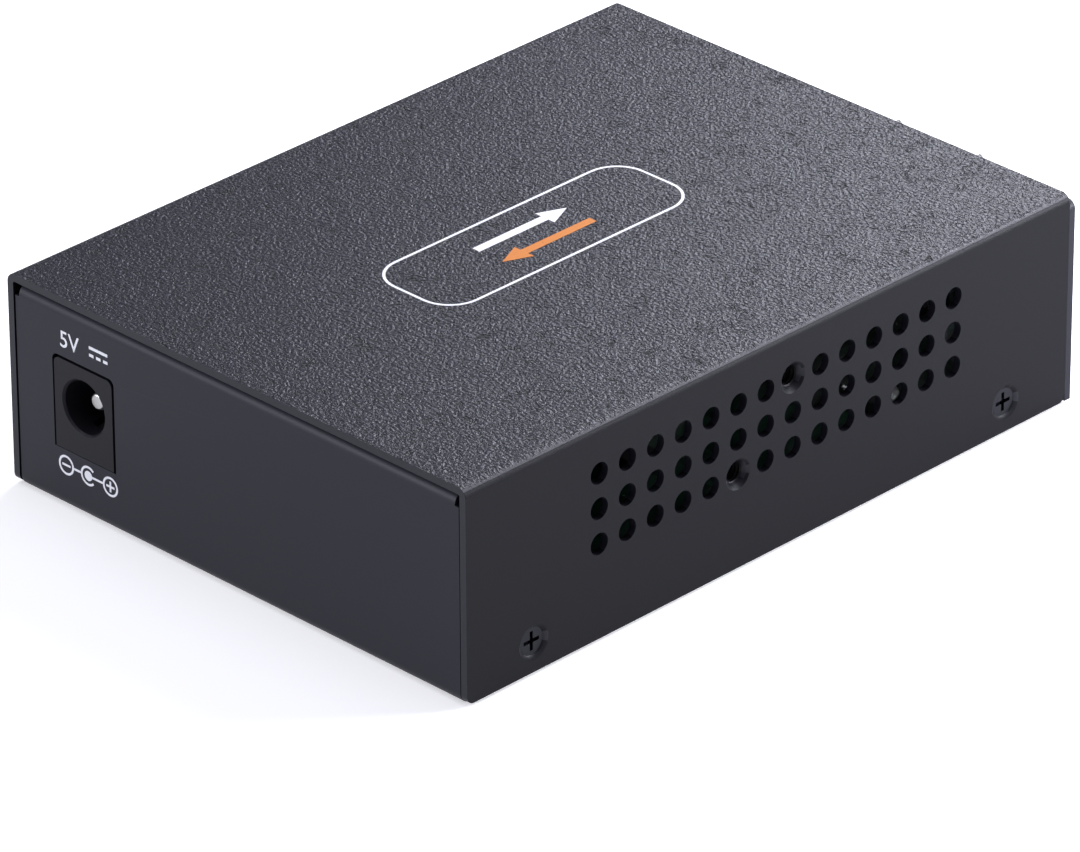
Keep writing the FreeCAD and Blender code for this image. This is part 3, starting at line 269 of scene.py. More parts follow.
def rgba(red: float, green: float, blue: float) -> Colour:
    """Linear colour with full alpha from sRGB values of 0 to 255."""
    return (linear(red), linear(green), linear(blue), 1.0)


def new_material(name: str) -> tuple[bpy.types.Material, Bench, Node]:
    """A new material with a bench for its tree and its Principled shader."""
    material = bpy.data.materials.new(name)
    material.use_nodes = True
    tree = material.node_tree
    return material, Bench(tree), tree.nodes["Principled BSDF"]


def linked(item: Piece) -> Piece:
    """The object, linked to the scene."""
    bpy.context.scene.collection.objects.link(item)
    return item


def darker(colour: Colour, share: float) -> Colour:
    """The colour at a share of its brightness; a share above 1 lightens it."""
    return (colour[0] * share, colour[1] * share, colour[2] * share, 1.0)


@dataclass(frozen=True)
class Finish(ABC):
    """One finish: its name, the record's slot and its colour."""

    name: str
    slot: str
    colour: Colour
    roughness: float = 0.5

    def material(self) -> bpy.types.Material:
        """The material, made on first use.

        Returns:
            The material of this finish.
        """
        label = self.name + "_finish"
        if label in bpy.data.materials:
            return bpy.data.materials[label]
        material, bench, shader = new_material(label)
        self.dress(bench, shader)
        return material

    @abstractmethod
    def dress(self, bench: Bench, shader: Node) -> None:
        """Fill the shader's sockets.

        Args:
            bench: Bench of the material's tree.
            shader: The Principled shader.
        """

    def vary(self, bench: Bench, shader: Node, variation: object,
             colour_share: float, roughness_swing: float) -> None:
        """Let colour and roughness wander with a value.

        Args:
            bench: Bench of the material's tree.
            shader: The Principled shader.
            variation: Value from 0 to 1 over the surface.
            colour_share: Brightness share of the darkest places.
            roughness_swing: Difference in roughness between high and low places.
        """
        colour = bench.blend(variation, darker(self.colour, colour_share), self.colour)
        swing = bench.times(bench.math("SUBTRACT", variation, 0.5), roughness_swing)
        rough = bench.math("ADD", swing, self.roughness)
        bench.fill(shader, {"Base Color": colour, "Roughness": rough})


@dataclass(frozen=True)
class WrinklePaint(Finish):
    """Wrinkled powder coat of the cover's top, fading out at the folds."""

    gloss: float = 0.5
    fold_top: float = 0.0261
    fade_low: float = 0.32 * MM
    fade_high: float = 0.02 * MM
    size: float = 0.42 * MM
    grain: float = 0.16 * MM
    grain_height: float = 0.04
    relief: float = 0.2 * MM
    clouds: float = 45.0
    cloud_shade: float = 0.88
    # Crests are painted lighter as highlights; gaps and dents are painted darker as shade.
    crest_share: float = 0.7
    crest_painted_highlight: float = 3.0
    gap_share: float = 0.8
    gap_painted_shade: float = 0.12
    gap_roughness: float = 0.35

    def dress(self, bench: Bench, shader: Node) -> None:
        """Pebbles, gaps and dents fading down the folds, with painted highlight and shade."""
        place = bench.place()
        level = bench.add("ShaderNodeSeparateXYZ", None, {0: place}).outputs[2]
        top = bench.step(level, self.fold_top - self.fade_low, self.fold_top - self.fade_high)
        coat = Effects.use(bench, "wrinkle_coat", {"Vector": place, "Size": self.size})
        grain = Effects.use(bench, "fine_grain", {"Vector": place, "Size": self.grain})
        clouds = bench.noise(place, scale=self.clouds)
        colour = bench.blend(clouds, darker(self.colour, self.cloud_shade), self.colour)
        # Painted highlight: the crests of the wrinkles lighter than the paint.
        crests = bench.times(coat.outputs["Crests"], top, self.crest_share)
        colour = bench.blend(crests, colour, darker(self.colour, self.crest_painted_highlight))
        # Painted shade: the gaps and dents darker than the paint.
        gaps = bench.times(coat.outputs["Gaps"], top, self.gap_share)
        colour = bench.blend(gaps, colour, darker(self.colour, self.gap_painted_shade))
        rough = bench.times(top, self.gap_roughness, coat.outputs["Gaps"])
        rough = bench.math("ADD", rough, self.roughness)
        coarse = bench.times(coat.outputs["Height"], top)
        fine = bench.times(grain.outputs["Height"], self.grain_height)
        normal = bench.bump(bench.math("ADD", coarse, fine), self.relief)
        bench.fill(shader, {"Base Color": colour, "Roughness": rough, "Normal": normal,
                            "Specular IOR Level": self.gloss})


@dataclass(frozen=True)
class SatinPaint(Finish):
    """Smooth satin powder coat."""

    gloss: float = 0.22
    grain: float = 0.22 * MM
    relief: float = 0.008 * MM
    clouds: float = 60.0
    shade: float = 0.9
    swing: float = 0.04

    def dress(self, bench: Bench, shader: Node) -> None:
        """Faint grain and broad variation."""
        place = bench.place()
        grain = Effects.use(bench, "fine_grain", {"Vector": place, "Size": self.grain})
        clouds = bench.noise(place, scale=self.clouds)
        self.vary(bench, shader, clouds, self.shade, self.swing)
        normal = bench.bump(grain.outputs["Height"], self.relief)
        bench.fill(shader, {"Normal": normal, "Specular IOR Level": self.gloss})


@dataclass(frozen=True)
class MouldedPlastic(Finish):
    """Moulded plastic with a fine spark grain."""

    grain: float = 0.12 * MM
    relief: float = 0.006 * MM
    gloss: float = 0.5
    shade: float = 0.85
    swing: float = 0.08

    def dress(self, bench: Bench, shader: Node) -> None:
        """Spark grain and slight variation."""
        grain = Effects.use(bench, "fine_grain", {"Vector": bench.place(), "Size": self.grain})
        self.vary(bench, shader, grain.outputs["Variation"], self.shade, self.swing)
        normal = bench.bump(grain.outputs["Height"], self.relief)
        bench.fill(shader, {"Normal": normal, "Specular IOR Level": self.gloss})


@dataclass(frozen=True)
class Metal(Finish):
    """Plated or rolled metal with fine lines along Y."""

    size: float = 0.12 * MM
    relief: float = 0.002 * MM
    stretch: float = 24.0
    shade: float = 0.86
    swing: float = 0.14

    def dress(self, bench: Bench, shader: Node) -> None:
        """Full metal, rolled lines and handling haze."""
        values = {"Vector": bench.place(), "Size": self.size, "Stretch": self.stretch}
        lines = Effects.use(bench, "rolled_lines", values)
        self.vary(bench, shader, lines.outputs["Variation"], self.shade, self.swing)
        normal = bench.bump(lines.outputs["Height"], self.relief)
        bench.fill(shader, {"Normal": normal, "Metallic": 1.0})


@dataclass(frozen=True)
class BoardLaminate(Finish):
    """Solder resist over copper tracks."""

    tracks: float = 420.0
    track_light: float = 1.7
    coat: float = 0.4
    relief: float = 0.02 * MM

    def dress(self, bench: Bench, shader: Node) -> None:
        """Lighter and raised where copper lies under the resist."""
        cells = bench.add("ShaderNodeTexVoronoi", {"feature": "F1", "distance": "CHEBYCHEV"},
                          {"Vector": bench.place(), "Scale": self.tracks})
        track = bench.step(cells.outputs["Distance"], low=0.30, high=0.34)
        colour = bench.blend(track, self.colour, darker(self.colour, self.track_light))
        bench.fill(shader, {"Base Color": colour, "Roughness": self.roughness,
                            "Coat Weight": self.coat, "Normal": bench.bump(track, self.relief)})


@dataclass(frozen=True)
class ClearRod(Finish):
    """Clear moulded light guide."""

    grain: float = 0.3 * MM
    relief: float = 0.01 * MM
    clearness: float = 0.75
    index: float = 1.49

    def dress(self, bench: Bench, shader: Node) -> None:
        """Clear with a frosted grain."""
        grain = Effects.use(bench, "fine_grain", {"Vector": bench.place(), "Size": self.grain})
        bench.fill(shader, {"Base Color": self.colour, "Roughness": self.roughness,
                            "Transmission Weight": self.clearness, "IOR": self.index,
                            "Normal": bench.bump(grain.outputs["Height"], self.relief)})


@dataclass(frozen=True)
class PrintInk(Finish):
    """Screen-printed ink: flat colour with slightly uneven cover."""

    specks: float = 2600.0
    thin_shade: float = 0.72
    relief: float = 0.004 * MM

    def dress(self, bench: Bench, shader: Node) -> None:
        """Thin places show the paint a little."""
        cover = bench.noise(bench.place(), scale=self.specks)
        cover = bench.step(cover, low=0.15, high=0.45)
        colour = bench.blend(cover, darker(self.colour, self.thin_shade), self.colour)
        bench.fill(shader, {"Base Color": colour, "Roughness": self.roughness,
                            "Normal": bench.bump(cover, self.relief)})


class Finishes:
    """Every finish of the converter."""

    COVER = WrinklePaint("cover_wrinkle", "cover_paint", rgba(28, 28, 37), 0.42)
    # Copies of the cover paint by facing: darker on the sides as painted shade, lighter on the end
    # edges as painted light.
    SHADED_SIDE = SatinPaint("cover_side_shaded", "cover_paint", rgba(18, 18, 24), 0.45, gloss=0.14)
    EDGE = SatinPaint("cover_edge_lit", "cover_paint", rgba(34, 34, 43), 0.42, gloss=0.3)
    TRAY = SatinPaint("tray_paint", "tray_paint", rgba(33, 33, 43), 0.45, gloss=0.25)
    SCREW = Metal("screw_black", "black_screw", rgba(52, 52, 58), 0.34)
    ZINC = Metal("zinc_steel", "zinc_steel", rgba(196, 196, 192), 0.38)
    SOCKET = MouldedPlastic("socket_black", "socket_black", rgba(24, 24, 30), 0.5, gloss=0.2)
    # Near-black copy of the cover paint for the threads: painted shade inside the tapped holes.
    SHADED_BORE = SatinPaint("bore_painted_shade", "cover_paint", rgba(13, 13, 16), 0.5)
    PIN = Metal("pin_silver", "pin_silver", rgba(204, 204, 202), 0.3)
    GOLD = Metal("contact_gold", "contact_gold", rgba(226, 184, 92), 0.25)
    SHIELD = Metal("shield_nickel", "shield_nickel", rgba(202, 200, 194), 0.3)
    BOARD = BoardLaminate("board_green", "board_green", rgba(20, 60, 40), 0.42)
    CHIP = MouldedPlastic("chip_black", "chip_black", rgba(40, 40, 42), 0.55)
    CHOKE = MouldedPlastic("choke_grey", "choke_grey", rgba(78, 78, 80), 0.6)
    CAN = Metal("can_silver", "can_silver", rgba(164, 164, 168), 0.42)
    LAMP = MouldedPlastic("lamp_white", "lamp_white", rgba(236, 236, 224), 0.5)
    GUIDE = ClearRod("clear_guide", "clear_guide", rgba(236, 240, 244), 0.14)
    MODULE = Metal("module_zinc", "module_zinc", rgba(184, 184, 185), 0.27)
    RECEPTACLE = Metal("receptacle", "receptacle", rgba(214, 210, 200), 0.28)
    LABEL = PrintInk("label_white", "label_white", rgba(232, 234, 240), 0.5)
    GRIP = MouldedPlastic("grip_blue", "grip_blue", rgba(24, 110, 206), 0.5, 0.2 * MM, 0.01 * MM)
    INK = PrintInk("print_white", "cover_paint", rgba(240, 241, 245), 0.55)
    AMBER = PrintInk("print_amber", "cover_paint", rgba(206, 122, 38), 0.55)


def gathered(items: bpy.types.bpy_prop_collection, name: str, width: int = 3,
             kind: type = float) -> Array:
    """One attribute of every item of a mesh, as an array with a row for each."""
    values = np.empty(len(items) * width, dtype=kind)
    items.foreach_get(name, values)
    return values.reshape(-1, width)


def new_piece(name: str, points: Array, faces: Sequence[Sequence[int]], finish: Finish,
              smooth_angle: float = SHARP_DEGREES) -> Piece:
    """Make a piece of the chassis from points and faces.

    Args:
        name: Name of the piece.
        points: Array of places, one row each, in metres.
        faces: Corner numbers of each face.
        finish: Its finish.
        smooth_angle: Edges sharper than this, in degrees, stay sharp.

    Returns:
        The new object.
    """
    mesh = bpy.data.meshes.new(name)
    mesh.from_pydata(points.tolist(), [], faces)
    mesh.validate()
    return finish_piece(name, mesh, finish, smooth_angle=smooth_angle)


def finish_piece(name: str, mesh: bpy.types.Mesh, finish: Finish, body: Body = Body.CHASSIS,
                 smooth_angle: float = SHARP_DEGREES) -> Piece:
    """Turn normals outwards, shade, dress and attach a mesh; returns its object."""
    work = bmesh.new()
    work.from_mesh(mesh)
    bmesh.ops.remove_doubles(work, verts=work.verts, dist=WELD_DISTANCE)
    bmesh.ops.recalc_face_normals(work, faces=work.faces)
    work.to_mesh(mesh)
    work.free()
    mesh.shade_smooth()
    mesh.set_sharp_from_angle(angle=math.radians(smooth_angle))
    mesh.materials.clear()
    mesh.materials.append(finish.material())
    piece = linked(bpy.data.objects.new(name, mesh))
    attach(piece, body.value)
    return piece


def refined_copy(node: str, finish: Finish, edge: float, body: Body = Body.CHASSIS,
                 straighten: bool = False) -> Piece:
    """Stand-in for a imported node: its triangles merged, flats cleaned and edges softened.

    Args:
        node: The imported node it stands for.
        finish: Its finish.
        edge: Width of the softened edges in metres; 0 leaves them sharp.
        body: The body it moves with.
        straighten: Also removes the corners that lie along a straight edge.

    Returns:
        The new object.
    """
    mesh = frame["nodes"][node].data.copy()
    mesh.name = node + "_skin"
    work = bmesh.new()
    work.from_mesh(mesh)
    bmesh.ops.remove_doubles(work, verts=work.verts, dist=MERGE_DISTANCE)
    bmesh.ops.dissolve_limit(work, angle_limit=FLAT_ANGLE, use_dissolve_boundaries=straighten,
                             verts=work.verts, edges=work.edges)
    work.to_mesh(mesh)
    work.free()
    piece = finish_piece(node + "_skin", mesh, finish, body, CREASE_DEGREES)
    if edge > 0:
        bevel = piece.modifiers.new("soft_edges", "BEVEL")
        bevel.width = edge
        bevel.segments = EDGE_STEPS
        bevel.limit_method = "ANGLE"
        bevel.angle_limit = math.radians(CREASE_DEGREES)
        bevel.loop_slide = False
    smoothing = piece.modifiers.new("flat_faces_rule", "WEIGHTED_NORMAL")
    smoothing.keep_sharp = True
    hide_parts(node)
    return piece


@dataclass(frozen=True)
class Skin:
    """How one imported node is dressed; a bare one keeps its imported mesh."""

    node: str
    finish: Finish
    edge: float = 0.0
    body: Body = Body.CHASSIS
    bare: bool = False

    def dress(self) -> Piece:
        """Dress the node; returns the object that is seen."""
        if not self.bare:
            return refined_copy(self.node, self.finish, self.edge, self.body)
        item = frame["nodes"][self.node]
        item.data.materials.clear()
        item.data.materials.append(self.finish.material())
        return item


def arc(centre: Flat, radius: float, start: float, stop: float, count: int) -> Array:
    """Points of an arc: centre plus radius times cosine and sine of evenly spaced angles."""
    angles = np.radians(np.linspace(start, stop, count))
    return np.array(centre) + radius * np.stack([np.cos(angles), np.sin(angles)], axis=1)


def circle(centre: Flat, radius: float, count: int) -> Array:
    """Evenly spaced points of a whole circle, the first not repeated."""
    return arc(centre, radius, 0, 360 - 360 / count, count)


def rounded_loop(width: float, height: float, radius: float, steps: int = 10) -> Array:
    """Closed outline of a rounded rectangle: four quarter circles joined by straights."""
    corners = []
    for quarter, (side_x, side_y) in enumerate(((1, 1), (-1, 1), (-1, -1), (1, -1))):
        centre = (side_x * (width / 2 - radius), side_y * (height / 2 - radius))
        corners.append(arc(centre, radius, 90 * quarter, 90 * quarter + 90, steps))
    return np.concatenate(corners)


@dataclass(frozen=True)
class Sheet:
    """A plane to print on: its origin and its two directions, in metres."""

    origin: Place
    across: Place
    upward: Place
    lift: float = 0.02 * MM

    def points(self, flat: Array, height: float) -> Array:
        """Places on the plane: origin plus u across plus v upward plus height along its normal."""
        across = np.array(self.across)
        upward = np.array(self.upward)
        raised = np.array(self.origin) + flat[:, :1] * across + flat[:, 1:2] * upward
        return raised + np.cross(across, upward) * height


class Print:
    """Flat printed marks gathered into one thin mesh."""

    def __init__(self, sheet: Sheet) -> None:
        """Start with no marks on the sheet."""
        self.sheet = sheet
        self.places: list[Array] = []
        self.faces: list[list[int]] = []
        self.count = 0

    def slab(self, top: Array, faces: list[list[int]], rims: list[list[int]]) -> None:
        """Add a thin closed slab: a top, the same faces below, and walls along the rims.

        Args:
            top: Flat points.
            faces: Faces among them.
            rims: Closed loops of point numbers that bound the faces.
        """
        size = len(top)
        start = self.count
        self.places.append(self.sheet.points(top, self.sheet.lift))
        self.places.append(self.sheet.points(top, -self.sheet.lift))
        for face in faces:
            self.faces.append([start + index for index in face])
            self.faces.append([start + size + index for index in face[::-1]])
        for rim in rims:
            for first, second in zip(rim, rim[1:] + rim[:1]):
                wall = [second, first, size + first, size + second]
                self.faces.append([start + index for index in wall])
        self.count += 2 * size

    def stroke(self, path: Array, width: float, closed: bool = False) -> None:
        """Add a line of even width: the path shifted half the width to either side.

        Args:
            path: Flat points of the line's middle.
            width: Width of the line.
            closed: True joins the end to the start.
        """
        if closed:
            ahead = np.roll(path, -1, axis=0)
            behind = np.roll(path, 1, axis=0)
        else:
            ahead = np.vstack([path[1:], 2 * path[-1:] - path[-2:-1]])
            behind = np.vstack([2 * path[:1] - path[1:2], path[:-1]])
        along = ahead - behind
        along /= np.linalg.norm(along, axis=1, keepdims=True)
        normal = np.stack([-along[:, 1], along[:, 0]], axis=1)
        size = len(path)
        top = np.vstack([path + normal * width / 2, path - normal * width / 2])
        last = size if closed else size - 1
        faces = [[index, size + index, size + (index + 1) % size, (index + 1) % size]
                 for index in range(last)]
        if closed:
            rims = [list(range(size))[::-1], list(range(size, 2 * size))]
        else:
            rims = [list(range(size, 2 * size)) + list(range(size))[::-1]]
        self.slab(top, faces, rims)

    def patch(self, outline: Array) -> None:
        """Add a filled outline with no holes, anticlockwise."""
        order = list(range(len(outline)))
        self.slab(outline, [order], [order])

    def piece(self, name: str, finish: Finish) -> Piece:
        """Make the marks a piece of the chassis; returns it."""
        return new_piece(name, np.vstack(self.places), self.faces, finish)


def tapped_holes() -> list[dict]:
    """The record's mounts that are tapped holes."""
    return [mount for mount in frame["record"]["mounts"] if mount["kind"] == "threaded_hole"]


class Assembly(ABC):
    """A sub-assembly that builds and dresses its pieces."""

    @abstractmethod
    def build(self) -> list[Piece]:
        """Make the pieces.

        Returns:
            The objects that were made or dressed.
        """


class SkinnedAssembly(Assembly):
    """A sub-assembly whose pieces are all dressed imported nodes."""

    skins: tuple[Skin, ...] = ()

    def build(self) -> list[Piece]:
        """Dress every node; returns the objects."""
        return [skin.dress() for skin in self.skins]


@dataclass
class Case(Assembly):
    """The folded cover, the tray and the cover's screws."""

    sheet_edge: float = 0.16 * MM
    tray_edge: float = 0.08 * MM
    screw_edge: float = 0.05 * MM
    rim_share: float = 0.35
    rim_step: float = 0.6 * MM
    wrinkle_slope: float = 0.62
    wrinkle_depth: float = 2.0 * MM
    vent_pitch: float = 4.23 * MM
    vent_columns: int = 14
    vent_rows: int = 3
    vent_top: float = 20.34 * MM
    vent_radius: float = 1.4 * MM
    vent_reach: float = 1.02
    painted_radius: float = 1.29 * MM
    level_slack: float = 0.001 * MM

    def build(self) -> list[Piece]:
        """Make the pieces; returns them."""
        cover = refined_copy("top_cover", Finishes.COVER, self.sheet_edge, straighten=True)
        tray = refined_copy("base_tray", Finishes.TRAY, self.tray_edge)
        self.narrow_vents(cover)
        for sheet in (cover, tray):
            self.ease_rims(sheet)
        self.paint_facing_light_and_shade(cover)
        return [cover, tray, refined_copy("cover_screws", Finishes.SCREW, self.screw_edge)]

    def paint_facing_light_and_shade(self, cover: Piece) -> None:
        """Wrinkle paint on top; smooth paint with painted shade on the sides and painted light on
        the end edges.

        Args:
            cover: The cover's piece.
        """
        mesh = cover.data
        mesh.materials.append(Finishes.SHADED_SIDE.material())
        mesh.materials.append(Finishes.EDGE.material())
        normals = gathered(mesh.polygons, "normal")
        centres = gathered(mesh.polygons, "center")
        high = centres[:, 2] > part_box("top_cover")[1].z - self.wrinkle_depth
        # Faces along the top keep the wrinkle paint; the rest take the darker copy, painted shade.
        kinds = np.where(high & (normals[:, 2] > self.wrinkle_slope), 0, 1)
        # Faces towards the rear or front, the sheet's end edges, take the lighter copy: painted
        # light.
        kinds[np.abs(normals[:, 1]) > self.wrinkle_slope] = 2
        mesh.polygons.foreach_set("material_index", kinds)

    def narrow_vents(self, cover: Piece) -> None:
        """Bring the vents to the opening that the paint leaves.

        Each corner within a vent's radius of a place of the vents' grid moves towards that place,
        in the ratio of the painted radius to the punched one. Places with a tapped hole stay.

        Args:
            cover: The cover's piece.
        """
        mesh = cover.data
        places = gathered(mesh.vertices, "co")
        start = np.array([(self.vent_columns - 1) / 2 * self.vent_pitch, self.vent_top])
        last = (self.vent_columns - 1, self.vent_rows - 1)
        number = np.clip(np.round((start - places[:, 1:]) / self.vent_pitch), 0, last)
        centre = start - number * self.vent_pitch
        arm = places[:, 1:] - centre
        near = np.hypot(arm[:, 0], arm[:, 1]) < self.vent_radius * self.vent_reach
        for hole in tapped_holes():
            offset = np.abs(centre - np.array(hole["pos_m"][1:]))
            near &= offset.max(axis=1) > self.vent_pitch / 4
        places[near, 1:] = (centre + arm * self.painted_radius / self.vent_radius)[near]
        mesh.vertices.foreach_set("co", places.ravel())
        mesh.update()

    def ease_rims(self, sheet: Piece) -> None:
        """Soften the rims of punched holes less than the sheet's edges.

        A rim is a sharp edge with both ends on one side face and a length below the rim step.

        Args:
            sheet: The piece whose edges are weighted.
        """
        mesh = sheet.data
        ends = gathered(mesh.edges, "vertices", 2, int)
        first, second = gathered(mesh.vertices, "co")[ends].transpose(1, 0, 2)
        sharp = gathered(mesh.attributes["sharp_edge"].data, "value", 1, bool)[:, 0]
        level = np.abs(first[:, 0] - second[:, 0]) < self.level_slack
        short = np.linalg.norm(first - second, axis=1) < self.rim_step
        weights = sharp * np.where(level & short, self.rim_share, 1.0)
        attribute = mesh.attributes.new("bevel_weight_edge", "FLOAT", "EDGE")
        attribute.data.foreach_set("value", weights)
        sheet.modifiers["soft_edges"].limit_method = "WEIGHT"


@dataclass
class RearMarks(Assembly):
    """Printed marks on the rear panel: the direct-current sign and the plug's polarity."""

    line: float = 0.27 * MM
    symbol_level: float = 5.44 * MM
    minus_x: float = 26.53 * MM
    plus_x: float = 19.54 * MM
    ring: float = 2.4 * MM
    dot: float = 1.2 * MM
    text_level: float = 21.0 * MM
    text_height: float = 2.05 * MM
    text_weight: float = 0.02 * MM
    capital_share: float = 0.729
    text_middle: float = 25.45 * MM
    text_right: float = 19.4 * MM
    arm_share: float = 0.27
    arc_opening: float = 42.0
    symbol_gap: float = 0.02 * MM
    sign_width: float = 2.9 * MM
    sign_line: float = 0.36 * MM
    sign_offset: float = 0.45 * MM
    dash_share: float = 0.24

    def build(self) -> list[Piece]:
        """Make the pieces; returns them."""
        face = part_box("base_tray")[1].y
        sheet = Sheet((0, face, 0), (-1, 0, 0), (0, 0, 1))
        return [self.polarity(sheet), self.current_sign(sheet), self.voltage(face)]

    def polarity(self, sheet: Sheet) -> Piece:
        """Minus ring, socket arc with its pin dot, and plus ring; returns the piece."""
        marks = Print(sheet)
        level = self.symbol_level
        middle = -(self.minus_x + self.plus_x) / 2
        radius = (self.ring - self.line) / 2
        arm = self.ring * self.arm_share
        opening = self.arc_opening
        for x in (-self.minus_x, -self.plus_x):
            marks.stroke(circle((x, level), radius, 36), self.line, closed=True)
        self.bar(marks, -self.minus_x - arm, -self.minus_x + arm, level, self.line)
        marks.patch(self.cross((-self.plus_x, level), arm))
        marks.stroke(arc((middle, level), radius, opening, 360 - opening, 30), self.line)
        marks.patch(circle((middle, level), self.dot / 2, 24))
        reach = self.ring / 2 + self.symbol_gap
        self.bar(marks, -self.minus_x + reach, middle - reach, level, self.line)
        start = middle + self.dot / 2 + self.symbol_gap
        self.bar(marks, start, -self.plus_x - reach, level, self.line)
        return marks.piece("polarity_sign", Finishes.INK)

    def bar(self, marks: Print, start: float, stop: float, level: float, width: float) -> None:
        """Add a level line to the marks."""
        marks.stroke(np.array([(start, level), (stop, level)]), width)

    def cross(self, middle: Flat, arm: float) -> Array:
        """Outline of a plus sign: three corners of one arm, turned in quarters about the middle.

        Args:
            middle: Centre of the sign.
            arm: Length of each arm.

        Returns:
            Its twelve corners, anticlockwise.
        """
        half = self.line / 2
        corners = np.array([(half, half), (half, arm), (-half, arm)])
        turns = [corners]
        for _ in range(3):
            turns.append(turns[-1] @ np.array([[0, 1], [-1, 0]]))
        return np.vstack(turns) + np.array(middle)

    def current_sign(self, sheet: Sheet) -> Piece:
        """Standard direct-current sign: a bar over three dashes; returns the piece."""
        marks = Print(sheet)
        right = -self.text_right
        left = right - self.sign_width
        self.bar(marks, left, right, self.text_level + self.sign_offset, self.sign_line)
        dash = self.sign_width * self.dash_share
        for index in range(3):
            start = left + index * (self.sign_width - dash) / 2
            self.bar(marks, start, start + dash, self.text_level - self.sign_offset, self.sign_line)
        return marks.piece("current_sign", Finishes.INK)

    def voltage(self, face: float) -> Piece:
        """Plain voltage figure beside the sign, as a thin mesh; returns the piece."""
        name = "voltage_figure"
        curve = bpy.data.curves.new(name, "FONT")
        curve.body = "5V"
        curve.size = self.text_height / self.capital_share
        curve.align_x = "CENTER"
        curve.offset = self.text_weight
        curve.resolution_u = 4
        holder = linked(bpy.data.objects.new(name, curve))
        bpy.context.view_layer.update()
        mesh = bpy.data.meshes.new_from_object(holder)
        bpy.data.objects.remove(holder)
        flat = gathered(mesh.vertices, "co")
        flat[:, 1] -= self.text_height / 2
        sheet = Sheet((self.text_middle, face, self.text_level), (-1, 0, 0), (0, 0, 1))
        mesh.vertices.foreach_set("co", sheet.points(flat[:, :2], sheet.lift).ravel())
        mesh.update()
        return finish_piece(name, mesh, Finishes.INK)


@dataclass
class TopBadge(Assembly):
    """Thin printed frame on the cover, with two plain opposed arrows inside."""

    centre_x: float = 0.25 * MM
    centre_y: float = 1.45 * MM
    width: float = 12.5 * MM
    length: float = 38.3 * MM
    corner: float = 4.0 * MM
    line: float = 0.34 * MM
    arrow_level: float = 2.0 * MM
    arrow_half: float = 7.0 * MM
    arrow_line: float = 1.1 * MM
    head_length: float = 3.4 * MM
    head_half: float = 1.5 * MM

    def build(self) -> list[Piece]:
        """Make the pieces; returns them."""
        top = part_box("top_cover")[1].z
        sheet = Sheet((self.centre_x, self.centre_y, top), (0, -1, 0), (1, 0, 0))
        border = Print(sheet)
        outline = rounded_loop(self.length, self.width, self.corner)
        border.stroke(outline, self.line, closed=True)
        return [border.piece("badge_frame", Finishes.INK),
                self.arrow(sheet, 1, "badge_arrow_out", Finishes.INK),
                self.arrow(sheet, -1, "badge_arrow_back", Finishes.AMBER)]

    def arrow(self, sheet: Sheet, sense: int, name: str, finish: Finish) -> Piece:
        """One arrow: a shaft and a triangular head.

        Args:
            sheet: Where it is printed.
            sense: 1 points along the badge, -1 back.
            name: Name of the piece.
            finish: Its finish.

        Returns:
            The new object.
        """
        marks = Print(sheet)
        level = sense * self.arrow_level
        tip = sense * self.arrow_half
        neck = sense * (self.arrow_half - self.head_length)
        marks.stroke(np.array([(-tip, level), (neck, level)]), self.arrow_line)
        half = sense * self.head_half
        marks.patch(np.array([(neck, level - half), (tip, level), (neck, level + half)]))
        return marks.piece(name, finish)


@dataclass
class Threads(Assembly):
    """Thread crests inside the tapped holes of the cover's sides, painted near-black as shade."""

    radius: float = 1.25 * MM
    crest: float = 0.14 * MM
    pitch: float = 0.5 * MM
    depth: float = 1.45 * MM
    bore_gap: float = 0.005 * MM
    fade_share: float = 0.2
    smooth_angle: float = 50.0
    around: int = 36
    along: int = 40

    def build(self) -> list[Piece]:
        """Make the pieces; returns them."""
        return [self.thread(hole["name"], hole["pos_m"], hole["axis"][0])
                for hole in tapped_holes()]

    def thread(self, name: str, centre: Sequence[float], side: float) -> Piece:
        """One thread: a tube whose radius falls towards its axis on a helix.

        The radius is the bore's less the crest times a triangle wave of place over pitch less
        angle over a full turn.

        Args:
            name: Name of the hole.
            centre: Middle of the bore.
            side: Direction of its mouth along X.

        Returns:
            The new object.
        """
        half = self.depth / 2
        angle, place = np.meshgrid(np.linspace(0, 2 * np.pi, self.around, endpoint=False),
                                   np.linspace(-half, half, self.along))
        phase = (place / self.pitch - angle / (2 * np.pi)) % 1.0
        ridge = 1.0 - np.abs(2 * phase - 1.0)
        fade = np.clip((half - np.abs(place)) / (self.fade_share * self.pitch), 0, 1)
        radius = self.radius - self.bore_gap - self.crest * ridge * fade
        points = np.stack([centre[0] + side * place, centre[1] + radius * np.cos(angle),
                           centre[2] + radius * np.sin(angle)], axis=-1).reshape(-1, 3)
        rows, columns = np.meshgrid(np.arange(self.along - 1), np.arange(self.around),
                                    indexing="ij")
        first = rows * self.around + columns
        second = rows * self.around + (columns + 1) % self.around
        faces = np.stack([first, second, second + self.around, first + self.around], axis=-1)
        # The near-black bore finish is painted shade inside the hole.
        return new_piece("thread_" + name, points, faces.reshape(-1, 4).tolist(), Finishes.SHADED_BORE,
                         self.smooth_angle)


class PowerSocket(SkinnedAssembly):
    """The moulded power socket with its pin and springs."""

    skins = (
        Skin("dc_jack_housing", Finishes.SOCKET, edge=0.1 * MM),
        Skin("dc_jack_pin", Finishes.PIN),
        Skin("dc_jack_contacts", Finishes.PIN, edge=0.04 * MM),
    )


class NetworkSocket(SkinnedAssembly):
    """The shielded network socket."""

    skins = (
        Skin("rj45_shield", Finishes.SHIELD, edge=0.05 * MM),
        Skin("rj45_housing", Finishes.SOCKET, edge=0.06 * MM),
        Skin("rj45_contacts", Finishes.GOLD, edge=0.04 * MM),
    )


class Cage(SkinnedAssembly):
    """The cage, its spring ring and its connector."""

    skins = (
        Skin("sfp_cage", Finishes.SHIELD),
        Skin("cage_gasket", Finishes.SHIELD),
        Skin("host_connector", Finishes.SOCKET, edge=0.08 * MM),
        Skin("host_contacts", Finishes.GOLD, bare=True),
    )


